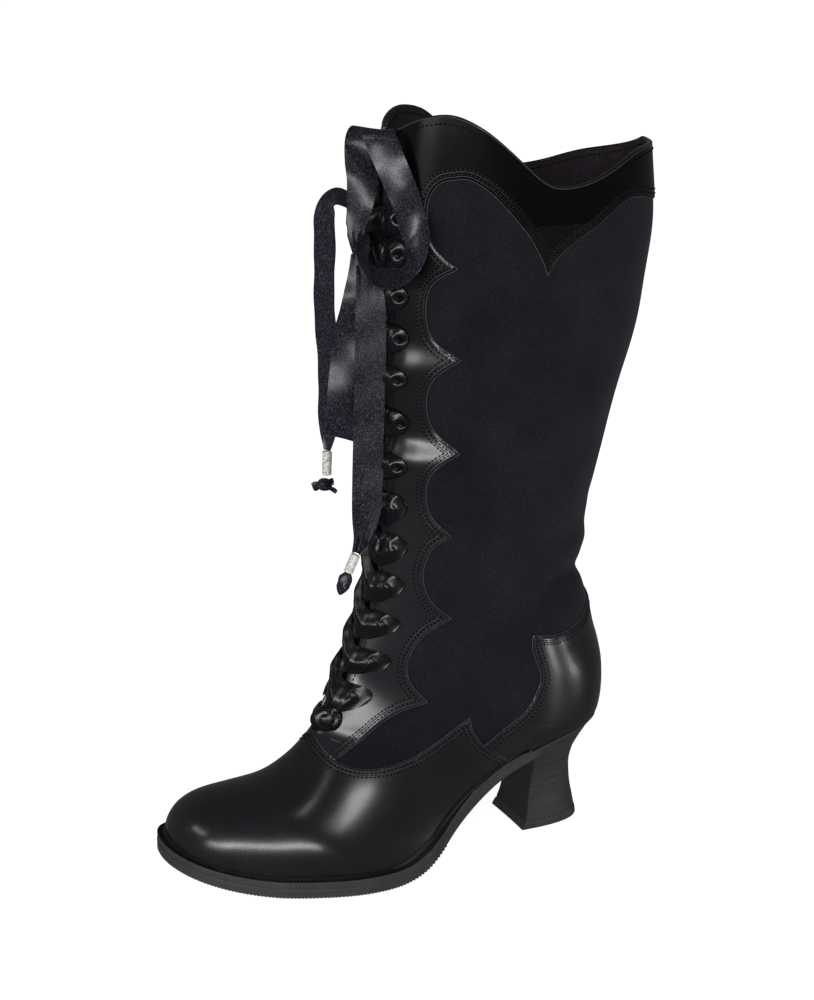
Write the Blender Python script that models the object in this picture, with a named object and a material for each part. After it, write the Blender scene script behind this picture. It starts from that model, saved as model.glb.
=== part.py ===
"""Laced boot, left foot: waisted stacked heel, welted sole, tall shaft open at the front.

Last frame in millimetres: toe towards -Y, heel towards +Y, outer (lateral) side +X,
floor at z = 0, y = 0 at the front of the heel. Everything is moved to the row's
origin (middle of the box, on the floor) and to metres when the meshes are made.
"""
import bpy
import math
import numpy as np

for old in list(bpy.data.objects):
    bpy.data.objects.remove(old, do_unlink=True)

# ------------------------------------------------------------------ driving sizes (mm)
MM = 0.001
ORIGIN_X = 4.85           # middle of the box, in the last frame
ORIGIN_Y = -58.7
TONGUE_SIDE = 1.0         # the tongue lies inside its own face
LACE_SIDE = -1.0          # the crossings lie outside theirs
RIBBON_FLIP = False
GAP = 0.3                 # clearance where two pieces meet
WALL = 2.2                # leather upper with its lining
INSOLE_T = 2.4
TONGUE_T = 1.8
WELT_T = 2.3
TOP_PIECE_T = 5.0
THROAT_HALF = (6.5, 9.0)  # half opening above the vamp point and at the collar
RIBBON_W = 15.5           # satin ribbon
RIBBON_T = 0.9
LACE_CLEAR = 1.3          # crossings stand this far off the upper
LACE_T = 1.0
FERRULE_D = 4.8
WELT_END_Y = -34.0        # the welt runs round the forefoot from here
WELT_INSET = 1.6          # its inner edge, outside the feather edge
TONGUE_HALF = (24.0, 17.0)   # half width at the collar and under the vamp point

# sections of the upper, collar to toe. Each is a closed curve in a plane across the boot:
# front (or crest) point, far point (back line, then a base line under the foot), half
# widths, place of the widest point along it, sideways shift of its middle, squareness of
# its crown and of its lower part. Below the heel the curves are cut where they meet the sole.
UPPER_COLUMNS = ("front_y", "front_z", "base_y", "base_z", "half_lat", "half_med",
                 "widest", "centre", "crown", "side")
UPPER_ROWS = {
    "collar":     (-71.0, 384.0, 76.0, 372.0, 47.0, 47.0, 0.50, 0.0, 1.00, 1.00),
    "band":       (-75.0, 345.0, 78.0, 338.0, 47.5, 47.5, 0.50, 0.0, 1.00, 1.00),
    "calf":       (-76.8, 295.0, 72.8, 292.0, 46.5, 46.5, 0.50, 0.0, 1.00, 1.00),
    "mid_shaft":  (-77.3, 245.0, 58.0, 240.0, 43.5, 43.5, 0.50, 0.0, 1.00, 1.00),
    "low_shaft":  (-77.6, 197.0, 45.0, 188.0, 39.5, 39.5, 0.51, 0.0, 1.00, 1.00),
    "ankle":      (-80.5, 159.0, 39.0, 150.0, 36.0, 36.0, 0.54, 0.0, 1.00, 1.00),
    "heel_top":   (-86.5, 134.0, 47.5, 121.0, 34.5, 34.5, 0.58, 0.0, 1.00, 0.97),
    "heel_mid":   (-93.0, 115.0, 53.8, 95.0, 33.5, 33.5, 0.63, 0.0, 1.00, 0.92),
    "heel_low":   (-98.0, 103.0, 55.0, 76.0, 33.0, 33.0, 0.66, 0.0, 1.00, 0.88),
    "seat_back":  (-102.0, 95.0, 51.0, 61.3, 32.8, 32.8, 0.68, 0.0, 1.00, 0.86),
    "seat_round": (-105.5, 87.5, 48.5, 56.8, 32.8, 32.6, 0.70, 0.2, 1.00, 0.86),
    "seat_side":  (-109.0, 80.5, 41.5, 53.0, 33.0, 32.5, 0.71, 0.5, 1.00, 0.87),
    "shank":      (-112.3, 75.0, 19.0, 48.0, 33.5, 32.3, 0.73, 0.8, 1.00, 0.88),
    "waist":      (-115.0, 70.8, -5.0, 41.0, 34.5, 32.5, 0.75, 1.2, 1.00, 0.90),
    "arch":       (-119.5, 65.0, -36.5, 21.5, 38.5, 34.5, 0.76, 2.0, 0.98, 0.90),
    "tread":      (-127.5, 57.5, -61.0, -1.5, 46.8, 40.0, 0.76, 3.2, 0.96, 0.90),
    "ball":       (-140.0, 49.0, -91.0, -5.6, 50.5, 43.8, 0.75, 3.5, 0.94, 0.90),
    "toe_root":   (-156.0, 44.0, -128.5, -4.2, 48.5, 45.0, 0.75, -0.5, 0.92, 0.90),
    "toe":        (-173.0, 39.6, -163.0, -0.5, 45.5, 45.0, 0.75, -6.0, 0.90, 0.90),
    "toe_end":    (-185.6, 32.0, -182.5, 5.8, 43.0, 43.0, 0.75, -9.0, 0.90, 0.90),
    "toe_tip":    (-190.8, 22.0, -190.5, 11.0, 42.0, 42.0, 0.75, -10.0, 0.90, 0.90),
}
TOE_CAP_FROM = "ball"     # from here the widths close on the toe as a superellipse
TOE_CAP_POWER = 2.35
THROAT_ROW = "waist"      # the throat's lowest point lies on this section

# height of the feather edge (top of the outsole) along the boot
SOLE_COLUMNS = ("y", "feather_z", "sole_t", "rim")   # rim: how far the sole stands out
SOLE_ROWS = (
    (-190.5, 12.8, 5.2, 4.8),
    (-182.5, 10.6, 5.2, 4.8),
    (-165.0, 7.2, 5.2, 5.0),
    (-147.0, 5.5, 5.2, 5.2),
    (-134.0, 5.5, 5.2, 5.2),
    (-104.0, 5.5, 5.2, 5.2),
    (-88.0, 5.5, 5.2, 5.4),
    (-73.0, 9.0, 5.4, 5.4),
    (-61.0, 16.5, 5.8, 5.2),
    (-48.0, 27.0, 6.0, 4.6),
    (-33.5, 37.0, 5.9, 3.4),
    (-18.5, 45.5, 5.6, 2.4),
    (0.0, 52.0, 5.2, 1.4),
    (18.0, 56.8, 4.2, 0.8),
    (40.0, 60.2, 3.4, 0.5),
    (51.0, 61.3, 3.2, 0.5),
)

# collar edge, by angle round the shaft from the front, on each side
COLLAR_COLUMNS = ("angle", "lat_z", "med_z")
COLLAR_ROWS = ((0.0, 381.0, 381.0), (12.0, 382.5, 382.0), (28.0, 388.5, 387.0),
               (43.0, 391.0, 390.5), (58.0, 387.0, 388.5), (76.0, 371.0, 372.0),
               (92.0, 356.5, 356.0), (107.0, 360.0, 357.5), (136.0, 370.0, 367.0),
               (154.0, 371.6, 370.0), (167.0, 372.0, 371.5), (180.0, 374.5, 374.5))
COLLAR_RAMP = 75.0        # the edge's wave dies out this far below the collar

# stacked heel, from its base to the seat: share of the height, front, back, half width
HEEL_COLUMNS = ("share", "front_y", "back_y", "half")
HEEL_ROWS = (
    (0.00, 2.6, 39.0, 18.8),
    (0.12, 4.5, 37.8, 17.6),
    (0.32, 7.0, 36.0, 15.8),
    (0.52, 9.0, 35.6, 15.4),
    (0.70, 10.0, 38.0, 17.5),
    (0.84, 8.5, 42.5, 21.0),
    (0.93, 4.5, 46.5, 24.0),
    (1.00, -3.0, 50.0, 26.5),
)
TOP_PIECE_COLUMNS = ("z", "front_y", "back_y", "half")
TOP_PIECE_ROWS = ((0.0, 0.6, 39.4, 18.6), (0.9, 0.0, 40.0, 19.3), (4.4, 2.2, 39.6, 19.2),
                  (5.0, 2.6, 39.2, 18.8))

# eyelets, collar to vamp: place along the sections and distance from the middle
EYELET_COLUMNS = ("s", "x")
EYELET_ROWS = ((42.0, 19.5), (58.4, 20.0), (79.1, 20.9), (100.5, 21.1), (121.9, 21.2),
               (146.1, 21.2), (169.6, 20.9), (191.7, 19.8), (213.1, 20.1), (234.5, 19.7),
               (257.3, 19.6), (281.5, 18.6), (305.7, 16.6), (325.7, 14.3))
# ribbon crossing between two eyelet rows: share of the pitch, inner and outer half width
# as shares of the eyelet's distance
CROSSING_COLUMNS = ("share", "inner", "outer")
CROSSING_ROWS = ((0.00, 0.27, 0.92), (0.16, 0.0, 0.76), (0.50, 0.0, 0.50),
                 (0.84, 0.0, 0.76))

# ribbons of the bow: middle of the ribbon, direction across it, share of the full width
RIBBON_COLUMNS = ("x", "y", "z", "across_x", "across_y", "across_z", "share")
LOOP_UPPER_ROWS = (
    (8.0, -89.7, 331.0, 0.35, 0.80, 0.48, 0.45),
    (8.0, -88.3, 344.3, 0.39, 0.92, 0.05, 0.75),
    (6.0, -85.8, 357.4, 0.39, 0.92, 0.00, 1.0),
    (4.0, -85.4, 368.5, 0.39, 0.92, 0.00, 1.0),
    (4.0, -85.5, 378.0, 0.39, 0.92, 0.00, 1.0),
    (8.5, -82.8, 384.4, 0.39, 0.92, 0.00, 1.0),
    (15.0, -80.9, 382.0, 0.39, 0.92, 0.00, 1.0),
    (18.5, -77.3, 371.5, 0.39, 0.92, 0.00, 1.0),
    (22.5, -72.7, 355.7, 0.39, 0.90, -0.14, 1.0),
    (28.0, -69.8, 341.7, 0.42, 0.86, -0.28, 1.0),
    (31.5, -68.5, 328.9, 0.80, 0.58, -0.10, 1.0),
    (31.8, -68.9, 319.5, 0.96, 0.20, -0.12, 1.0),
    (29.0, -73.2, 311.1, 0.94, -0.21, -0.27, 1.0),
    (24.0, -79.0, 308.8, 0.82, -0.34, -0.46, 1.0),
    (20.0, -84.8, 310.8, 0.71, -0.50, -0.50, 1.0),
    (14.0, -88.2, 319.8, 0.58, -0.79, -0.22, 0.9),
    (3.5, -85.8, 328.2, 0.50, -0.85, -0.15, 0.6),
)
LOOP_HANGING_ROWS = (
    (4.0, -88.2, 321.6, 0.39, 0.92, -0.20, 0.45),
    (6.0, -87.4, 307.3, 0.39, 0.92, -0.20, 0.95),
    (6.0, -90.5, 293.1, 0.39, 0.92, -0.17, 1.0),
    (4.0, -93.3, 279.7, 0.39, 0.92, -0.16, 1.0),
    (2.5, -95.3, 259.7, 0.39, 0.92, -0.15, 1.0),
    (2.5, -97.1, 242.0, 0.39, 0.92, -0.15, 1.0),
    (1.5, -97.3, 231.1, 0.39, 0.92, -0.18, 1.0),
    (-1.8, -95.8, 225.2, 0.39, 0.92, -0.18, 1.0),
    (-5.2, -93.8, 229.6, 0.39, 0.92, -0.18, 1.0),
    (-4.8, -91.6, 244.0, 0.42, 0.90, -0.15, 1.0),
    (-3.0, -88.5, 275.0, 0.60, 0.78, -0.14, 1.0),
    (-2.0, -85.6, 300.8, 0.75, 0.65, -0.12, 0.9),
    (-2.0, -85.0, 317.3, 0.75, 0.65, -0.10, 0.5),
)
TAIL_LEFT_ROWS = (
    (-10.0, -88.6, 348.2, 0.80, -0.34, -0.48, 0.7),
    (-12.0, -92.4, 349.2, 0.82, -0.30, -0.48, 0.9),
    (-15.0, -95.4, 346.4, 0.93, 0.02, -0.38, 1.0),
    (-17.0, -97.5, 338.4, 0.95, 0.30, -0.14, 1.0),
    (-17.0, -98.0, 326.3, 0.93, 0.37, 0.00, 1.0),
    (-17.0, -98.3, 301.0, 0.93, 0.37, 0.00, 1.0),
    (-17.0, -97.0, 269.2, 0.93, 0.37, 0.00, 1.0),
    (-17.0, -96.5, 236.5, 0.93, 0.37, 0.00, 1.0),
    (-17.0, -97.0, 225.4, 0.93, 0.37, 0.00, 0.75),
    (-17.0, -97.5, 216.2, 0.93, 0.37, 0.00, 0.29),
)
TAIL_FRONT_ROWS = (
    (8.0, -87.3, 317.0, 0.39, 0.92, -0.30, 0.42),
    (9.5, -84.8, 304.9, 0.39, 0.92, -0.28, 0.85),
    (11.0, -84.4, 288.7, 0.39, 0.92, -0.14, 1.0),
    (11.0, -85.2, 251.0, 0.39, 0.92, -0.08, 1.0),
    (11.0, -86.1, 222.6, 0.39, 0.92, -0.10, 1.0),
    (11.0, -86.8, 196.3, 0.39, 0.92, -0.12, 1.0),
    (10.5, -87.8, 184.1, 0.39, 0.92, -0.18, 0.85),
    (10.0, -89.4, 174.9, 0.39, 0.92, -0.18, 0.55),
    (9.55, -91.6, 167.4, 0.39, 0.92, -0.20, 0.29),
)
# lumps: middle, then half sizes sideways to the ribbon's face, through it and upright
LUMP_COLUMNS = ("x", "y", "z", "half_face", "half_depth", "half_z")
KNOT_ROW = (-5.0, -84.6, 339.8, 5.0, 5.0, 6.6)
END_LEFT_ROW = (-17.0, -98.6, 198.7, 6.0, 4.6, 4.0)
END_FRONT_ROW = (8.6, -97.2, 151.0, 3.6, 3.4, 5.8)
# ferrules: top and bottom end
FERRULE_COLUMNS = ("x0", "y0", "z0", "x1", "y1", "z1")
FERRULE_LEFT_ROW = (-17.0, -97.6, 215.6, -17.0, -98.2, 203.2)
FERRULE_FRONT_ROW = (9.5, -91.9, 166.6, 8.9, -95.6, 157.4)
BOW_FACE = (0.39, 0.92)   # sideways direction of the bow, in plan


# ------------------------------------------------------------------ curves through rows
def smooth(xs, ys, x):
    """Monotone cubic through (xs, ys), straight past the ends."""
    xs, ys = np.asarray(xs, float), np.asarray(ys, float)
    x = np.asarray(x, float)
    h = np.diff(xs)
    d = np.diff(ys) / h
    m = np.zeros_like(ys)
    m[0], m[-1] = d[0], d[-1]
    for i in range(1, len(xs) - 1):
        if d[i - 1] * d[i] > 0.0:
            w1, w2 = 2 * h[i] + h[i - 1], h[i] + 2 * h[i - 1]
            m[i] = (w1 + w2) / (w1 / d[i - 1] + w2 / d[i])
    xc = np.clip(x, xs[0], xs[-1])
    i = np.clip(np.searchsorted(xs, xc) - 1, 0, len(h) - 1)
    t = (xc - xs[i]) / h[i]
    t2, t3 = t * t, t * t * t
    return ((2 * t3 - 3 * t2 + 1) * ys[i] + (t3 - 2 * t2 + t) * h[i] * m[i]
            + (-2 * t3 + 3 * t2) * ys[i + 1] + (t3 - t2) * h[i] * m[i + 1])


ROW_NAMES = list(UPPER_ROWS)
TABLE = np.array([UPPER_ROWS[n] for n in ROW_NAMES])
STEP = (0.5 * np.hypot(np.diff(TABLE[:, 0]), np.diff(TABLE[:, 1]))
        + 0.5 * np.hypot(np.diff(TABLE[:, 2]), np.diff(TABLE[:, 3])))
ROW_S = np.concatenate([[0.0], np.cumsum(STEP)])
S_OF = dict(zip(ROW_NAMES, ROW_S))
S_END = ROW_S[-1]


def column(name, s):
    return smooth(ROW_S, TABLE[:, UPPER_COLUMNS.index(name)], s)


SOLE = np.array(SOLE_ROWS)


def sole(name, y):
    return smooth(SOLE[:, 0], SOLE[:, SOLE_COLUMNS.index(name)], y)


COLLAR = np.array(COLLAR_ROWS)


def toe_cap(s):
    u = np.clip((s - S_OF[TOE_CAP_FROM]) / (S_END - S_OF[TOE_CAP_FROM]), 0.0, 1.0)
    return np.maximum(1.0 - u ** TOE_CAP_POWER, 0.0) ** (1.0 / TOE_CAP_POWER)


def sole_cut(s):
    """Share of each section's front-to-far line that lies above the sole."""
    s = np.asarray(s, float)
    fy, fz = column("front_y", s), column("front_z", s)
    by, bz = column("base_y", s), column("base_z", s)
    low, high = np.full_like(s, 0.3), np.ones_like(s)
    for _ in range(46):
        p = 0.5 * (low + high)
        above = fz + (bz - fz) * p > sole("feather_z", fy + (by - fy) * p)
        low, high = np.where(above, p, low), np.where(above, high, p)
    return np.where(s > S_OF["seat_back"] + 1e-6, high, 1.0)


def end_angle(s):
    """Angle round each section at which it ends: half a turn where it is closed."""
    w = column("widest", s)
    return np.arccos(np.clip(-(sole_cut(s) - w) / (1.0 - w), -1.0, 1.0))


def half_width(side, s, a):
    """Half width of a section at an angle from its crest."""
    power = np.where(a < math.pi / 2, column("crown", s), column("side", s))
    half = np.maximum(column("half_" + side, s) * toe_cap(s), 1e-9)
    return half * np.maximum(np.sin(a), 0.0) ** power


def feather(side, s):
    """Feather edge: where the upper stands on the sole."""
    s = np.asarray(s, float)
    sign = 1.0 if side == "lat" else -1.0
    p = sole_cut(s)
    y = column("front_y", s) + (column("base_y", s) - column("front_y", s)) * p
    x = column("centre", s) + sign * half_width(side, s, end_angle(s))
    return np.stack([x, y, sole("feather_z", y)], -1)


def throat_half(s):
    """Half opening of the throat: zero at the vamp point, widening to the collar."""
    s0, low, high = S_OF[THROAT_ROW], THROAT_HALF[0], THROAT_HALF[1]
    up = np.clip((s0 - s) / s0, 0.0, 1.0)
    start = np.clip((s0 - s) / 10.0, 0.0, 1.0)
    return (low + (high - low) * up) * np.sqrt(np.maximum(1.0 - (1.0 - start) ** 2, 0.0))


SIDE_ANGLE = math.radians(86.0)   # half of the columns lie in front of this angle


def section_point(side, s, a):
    """Outer face of the closed section s at angle a from its crest."""
    s, a = np.broadcast_arrays(np.asarray(s, float), np.asarray(a, float))
    sign = 1.0 if side == "lat" else -1.0
    fy, fz = column("front_y", s), column("front_z", s)
    by, bz = column("base_y", s), column("base_z", s)
    w = column("widest", s)
    p = np.where(a < math.pi / 2, w * (1.0 - np.cos(a)), w - (1.0 - w) * np.cos(a))
    x = column("centre", s) + sign * half_width(side, s, a)
    y = fy + (by - fy) * p
    z = fz + (bz - fz) * p
    rim = smooth(COLLAR[:, 0], COLLAR[:, 1 if side == "lat" else 2], np.degrees(a))
    flat = UPPER_ROWS["collar"]
    wave = rim - (flat[1] + (flat[3] - flat[1]) * p)
    fade = np.clip(1.0 - s / COLLAR_RAMP, 0.0, 1.0)
    z = z + wave * fade * fade * (3 - 2 * fade)
    return np.stack([x, y, z], -1)


def upper_point(side, s, t):
    """Outer face of the upper at section s, t = 0 at the throat or crest, 1 at the end."""
    s, t = np.broadcast_arrays(np.asarray(s, float), np.asarray(t, float))
    half = np.maximum(column("half_" + side, s) * toe_cap(s), 1e-9)
    a0 = np.arcsin(np.clip(throat_half(s) / half, 0.0, 0.9) ** (1.0 / column("crown", s)))
    a = np.where(t < 0.5, a0 + (SIDE_ANGLE - a0) * 2.0 * t,
                 SIDE_ANGLE + (end_angle(s) - SIDE_ANGLE) * (2.0 * t - 1.0))
    return section_point(side, s, a)


def front_point(s, x, off):
    """Point of the boot's front at section s, x from the middle, off outside the face."""
    s, x = np.broadcast_arrays(np.asarray(s, float), np.asarray(x, float))

    def face(q, u):
        lat = column("half_lat", q)
        med = column("half_med", q)
        a = np.arcsin(np.clip(np.abs(u) / np.where(u >= 0, lat, med), 0.0, 0.95))
        return np.where((u >= 0)[..., None], section_point("lat", q, a), section_point("med", q, a))

    ds, dx = 0.6, 0.6
    along = face(s + ds, x) - face(s - ds, x)
    across = face(s, x + dx) - face(s, x - dx)
    n = np.cross(along, across)
    n /= np.linalg.norm(n, axis=-1, keepdims=True)
    n = np.where((n[..., 1] > 0)[..., None], -n, n)
    return face(s, x) + n * np.asarray(off)[..., None]


# ------------------------------------------------------------------ meshes
def material(name, rgb, rough, metal=0.0):
    m = bpy.data.materials.new(name)
    m.use_nodes = True
    b = m.node_tree.nodes["Principled BSDF"]
    b.inputs["Base Color"].default_value = (*rgb, 1.0)
    b.inputs["Roughness"].default_value = rough
    b.inputs["Metallic"].default_value = metal
    return m


def make(name, verts, faces, mat, sharp=40.0, weld=1e-6):
    """Object from last-frame points; points that coincide become one."""
    verts = np.asarray(verts, float)
    verts = (verts - np.array([ORIGIN_X, ORIGIN_Y, 0.0])) * MM
    key, index, kept = {}, [], []
    for v in verts:
        k = tuple(np.round(v / weld).astype(int))
        if k not in key:
            key[k] = len(kept)
            kept.append(v)
        index.append(key[k])
    out = []
    for f in faces:
        g = []
        for i in f:
            j = index[i]
            if j not in g:
                g.append(j)
        if len(g) > 2:
            out.append(g)
    mesh = bpy.data.meshes.new(name)
    mesh.from_pydata([tuple(v) for v in kept], [], out)
    mesh.validate()
    ob = bpy.data.objects.new(name, mesh)
    bpy.context.scene.collection.objects.link(ob)
    mesh.materials.append(mat)
    mesh.shade_smooth()
    mesh.set_sharp_from_angle(angle=math.radians(sharp))
    return ob


def grid_faces(rows, cols, base=0, flip=False, wrap=False):
    faces = []
    for i in range(rows - 1):
        for j in range(cols if wrap else cols - 1):
            k = (j + 1) % cols
            q = [base + i * cols + j, base + i * cols + k,
                 base + (i + 1) * cols + k, base + (i + 1) * cols + j]
            faces.append(q[::-1] if flip else q)
    return faces


def loft(rings, cap=True, flip=False):
    """Closed rings of equal length joined into one body with flat ends."""
    n = len(rings[0])
    verts = np.concatenate([np.asarray(r, float) for r in rings])
    faces = grid_faces(len(rings), n, wrap=True, flip=flip)
    if cap:
        last = (len(rings) - 1) * n
        first_cap = list(range(n))[::-1]
        last_cap = [last + i for i in range(n)]
        faces += [first_cap[::-1] if flip else first_cap, last_cap[::-1] if flip else last_cap]
    return verts, faces


LEATHER = material("black_leather", (0.012, 0.012, 0.014), 0.28)
RUBBER = material("charcoal_rubber", (0.030, 0.031, 0.032), 0.60)
STACKED = material("stacked_leather", (0.022, 0.022, 0.024), 0.50)
BOARD = material("insole_board", (0.020, 0.018, 0.022), 0.80)
SATIN = material("satin_ribbon", (0.020, 0.018, 0.026), 0.35)
METAL = material("ferrule_wire", (0.75, 0.76, 0.78), 0.25, 1.0)


# ------------------------------------------------------------------ upper
def section_stations(count):
    """Stations collar to toe: even, closer where the heel seat and toe round off."""
    knots = [0.0, S_OF["low_shaft"], S_OF["seat_back"], S_OF["seat_side"], S_OF["tread"],
             S_OF["toe"], S_END]
    share = (0.20, 0.20, 0.15, 0.16, 0.12, 0.17)
    out = [0.0]
    for i, part in enumerate(share):
        n = max(2, round(count * part))
        u = np.arange(1, n + 1) / n
        if i == 2:
            u = u ** 1.7
        if i == 5:
            u = 1.0 - (1.0 - u) ** 1.8
        out += list(knots[i] + (knots[i + 1] - knots[i]) * u)
    # stations that carry the vamp point's rounded throat
    extra = S_OF[THROAT_ROW] - np.array([0.0, 1.2, 4.0, 8.0])
    return np.array(sorted(set(np.round(out + list(extra), 4))))


def build_upper():
    stations = section_stations(46)
    columns = np.linspace(0.0, 1.0, 14)
    verts, faces = [], []
    for side in ("lat", "med"):
        S, T = np.meshgrid(stations, columns, indexing="ij")
        pts = upper_point(side, S, T)
        base = sum(len(v) for v in verts)
        verts.append(pts.reshape(-1, 3))
        faces += grid_faces(len(stations), len(columns), base, flip=(side == "lat"))
    verts = np.concatenate(verts)
    ob = make("upper", verts, faces, LEATHER, weld=2e-6)
    wall = ob.modifiers.new("wall", 'SOLIDIFY')
    wall.thickness = WALL * MM
    wall.offset = -1.0
    wall.use_even_offset = True
    wall.use_rim = True
    return ob


# ------------------------------------------------------------------ sole
def outline(extra, start=None, count=41):
    """Plan outline of the feather edge pushed out by extra(y), as two ladders toe-ward."""
    s0 = S_OF["seat_back"] if start is None else start
    u = (1.0 - np.cos(np.linspace(0.0, math.pi, count))) / 2.0
    s = s0 + (S_END - s0) * u
    sides = {}
    loop = np.concatenate([feather("lat", s)[:, :2], feather("med", s)[::-1][1:-1, :2]])
    nxt, prv = np.roll(loop, -1, 0), np.roll(loop, 1, 0)
    tan = nxt - prv
    tan /= np.linalg.norm(tan, axis=1)[:, None]
    nor = np.stack([-tan[:, 1], tan[:, 0]], -1)
    mid = loop.mean(0)
    if np.sum((loop - mid) * nor) < 0:
        nor = -nor
    out = loop + nor * np.array([extra(y) for y in loop[:, 1]])[:, None]
    lat = out[:count]
    med = np.concatenate([out[:1], out[count:][::-1], out[count - 1:count]])
    return lat, med


def slab(name, lat, med, z_top, z_bottom, mat, bevel_top=0.0, bevel_bottom=0.0, sharp=40.0):
    """Flat-sided body between two ladders of plan points; edges eased by small bevels."""
    n = len(lat)
    mid = 0.5 * (lat + med)

    def pulled(p, d):
        v = mid - p
        r = np.linalg.norm(v, axis=1)
        k = np.where(r > 1e-6, np.minimum(d / np.maximum(r, 1e-6), 0.6), 0.0)
        return p + v * k[:, None]

    def ring_row(pts, zf, drop):
        return np.column_stack([pts, zf(pts[:, 1]) + drop])

    rows = [ring_row(pulled(lat, bevel_top), z_top, 0.0),
            ring_row(lat, z_top, -bevel_top),
            ring_row(lat, z_bottom, bevel_bottom),
            ring_row(pulled(lat, bevel_bottom), z_bottom, 0.0),
            ring_row(pulled(med, bevel_bottom), z_bottom, 0.0),
            ring_row(med, z_bottom, bevel_bottom),
            ring_row(med, z_top, -bevel_top),
            ring_row(pulled(med, bevel_top), z_top, 0.0)]
    rings = [[rows[k][i] for k in range(8)] for i in range(n)]
    verts, faces = loft(rings, cap=False, flip=True)
    ob = make(name, verts, faces, mat, sharp=sharp, weld=2e-6)
    return ob


def sole_top(y):
    return sole("feather_z", y) - GAP


def sole_bottom(y):
    return sole_top(y) - sole("sole_t", y)


def build_outsole():
    lat, med = outline(lambda y: float(sole("rim", y)))
    return slab("outsole", lat, med, sole_top, sole_bottom, RUBBER, 0.5, 0.9)


def build_insole():
    inset = WALL + 1.2
    lat, med = outline(lambda y: -inset, count=31)
    return slab("insole", lat, med, lambda y: sole("feather_z", y) + 0.2 + INSOLE_T,
                lambda y: sole("feather_z", y) + 0.2, BOARD)


def build_welt():
    """Strip on the sole's margin, from the outer waist round the toe to the inner waist."""
    def margin(extra):
        lat, med = outline(extra, count=49)
        path = np.concatenate([lat, med[::-1][1:]])
        return path

    inner = margin(lambda y: WELT_INSET)
    outer = margin(lambda y: float(sole("rim", y)) - 0.4)
    keep = inner[:, 1] < WELT_END_Y
    inner, outer = inner[keep], outer[keep]
    rings = []
    for i, o in zip(inner, outer):
        zi, zo = sole_top(i[1]) + GAP, sole_top(o[1]) + GAP
        m = o + (i - o) * 0.12
        rings.append([(i[0], i[1], zi + WELT_T), (m[0], m[1], zo + WELT_T),
                      (o[0], o[1], zo + WELT_T - 0.5), (o[0], o[1], zo), (i[0], i[1], zi)])
    verts, faces = loft(rings, cap=True, flip=True)
    return make("welt", verts, faces, RUBBER)


def heel_ring(front, back, half, count=15):
    """D-shaped plan ring: rounded back, slightly hollow front."""
    th = np.linspace(0.0, math.pi, count)
    x = half * np.sign(np.cos(th)) * np.abs(np.cos(th)) ** 0.75
    y = front + (back - front) * np.abs(np.sin(th)) ** 0.8
    breast = np.linspace(-1.0, 1.0, 7)[1:-1]
    x = np.concatenate([x, half * breast])
    y = np.concatenate([y, front + 1.6 * (1.0 - breast ** 2)])
    return x, y


def build_heel():
    rows = np.array(HEEL_ROWS)
    z0 = TOP_PIECE_T + GAP
    rings = []
    for share in np.linspace(0.0, 1.0, 13):
        front, back, half = (float(smooth(rows[:, 0], rows[:, k], share)) for k in (1, 2, 3))
        x, y = heel_ring(front, back, half)
        top = sole_bottom(y) - GAP
        rings.append(np.column_stack([x, y, z0 + (top - z0) * share]))
    verts, faces = loft(rings, cap=True)
    return make("heel", verts, faces, STACKED, sharp=35.0)


def build_heel_top_piece():
    rings = []
    for z, front, back, half in TOP_PIECE_ROWS:
        x, y = heel_ring(front, back, half)
        rings.append(np.column_stack([x, y, np.full_like(x, z)]))
    verts, faces = loft(rings, cap=True)
    return make("heel_top_piece", verts, faces, RUBBER, sharp=35.0)


# ------------------------------------------------------------------ tongue and lacing
def sheet(name, grid, mat, thick, side):
    """Thin body from a grid of points, thickened to one side."""
    n, m = grid.shape[:2]
    ob = make(name, grid.reshape(-1, 3), grid_faces(n, m), mat)
    thicken(ob, thick, side)
    return ob


def thicken(ob, thick, side):
    mod = ob.modifiers.new("thickness", 'SOLIDIFY')
    mod.thickness = thick * MM
    mod.offset = side
    mod.use_even_offset = True
    mod.use_rim = True


def build_tongue():
    s0, s1 = 3.0, S_OF[THROAT_ROW] + 12.0
    s = np.linspace(s0, s1, 25)
    half = np.interp(s, (s0, s1), TONGUE_HALF)
    half *= 1.0 - 0.45 * np.clip((s - s1 + 14.0) / 14.0, 0.0, 1.0) ** 2
    u = np.linspace(-1.0, 1.0, 9)
    grid = front_point(s[:, None], half[:, None] * u, -(WALL + 0.6) * np.ones((25, 9)))
    return sheet("tongue", grid, LEATHER, TONGUE_T, TONGUE_SIDE)


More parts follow.
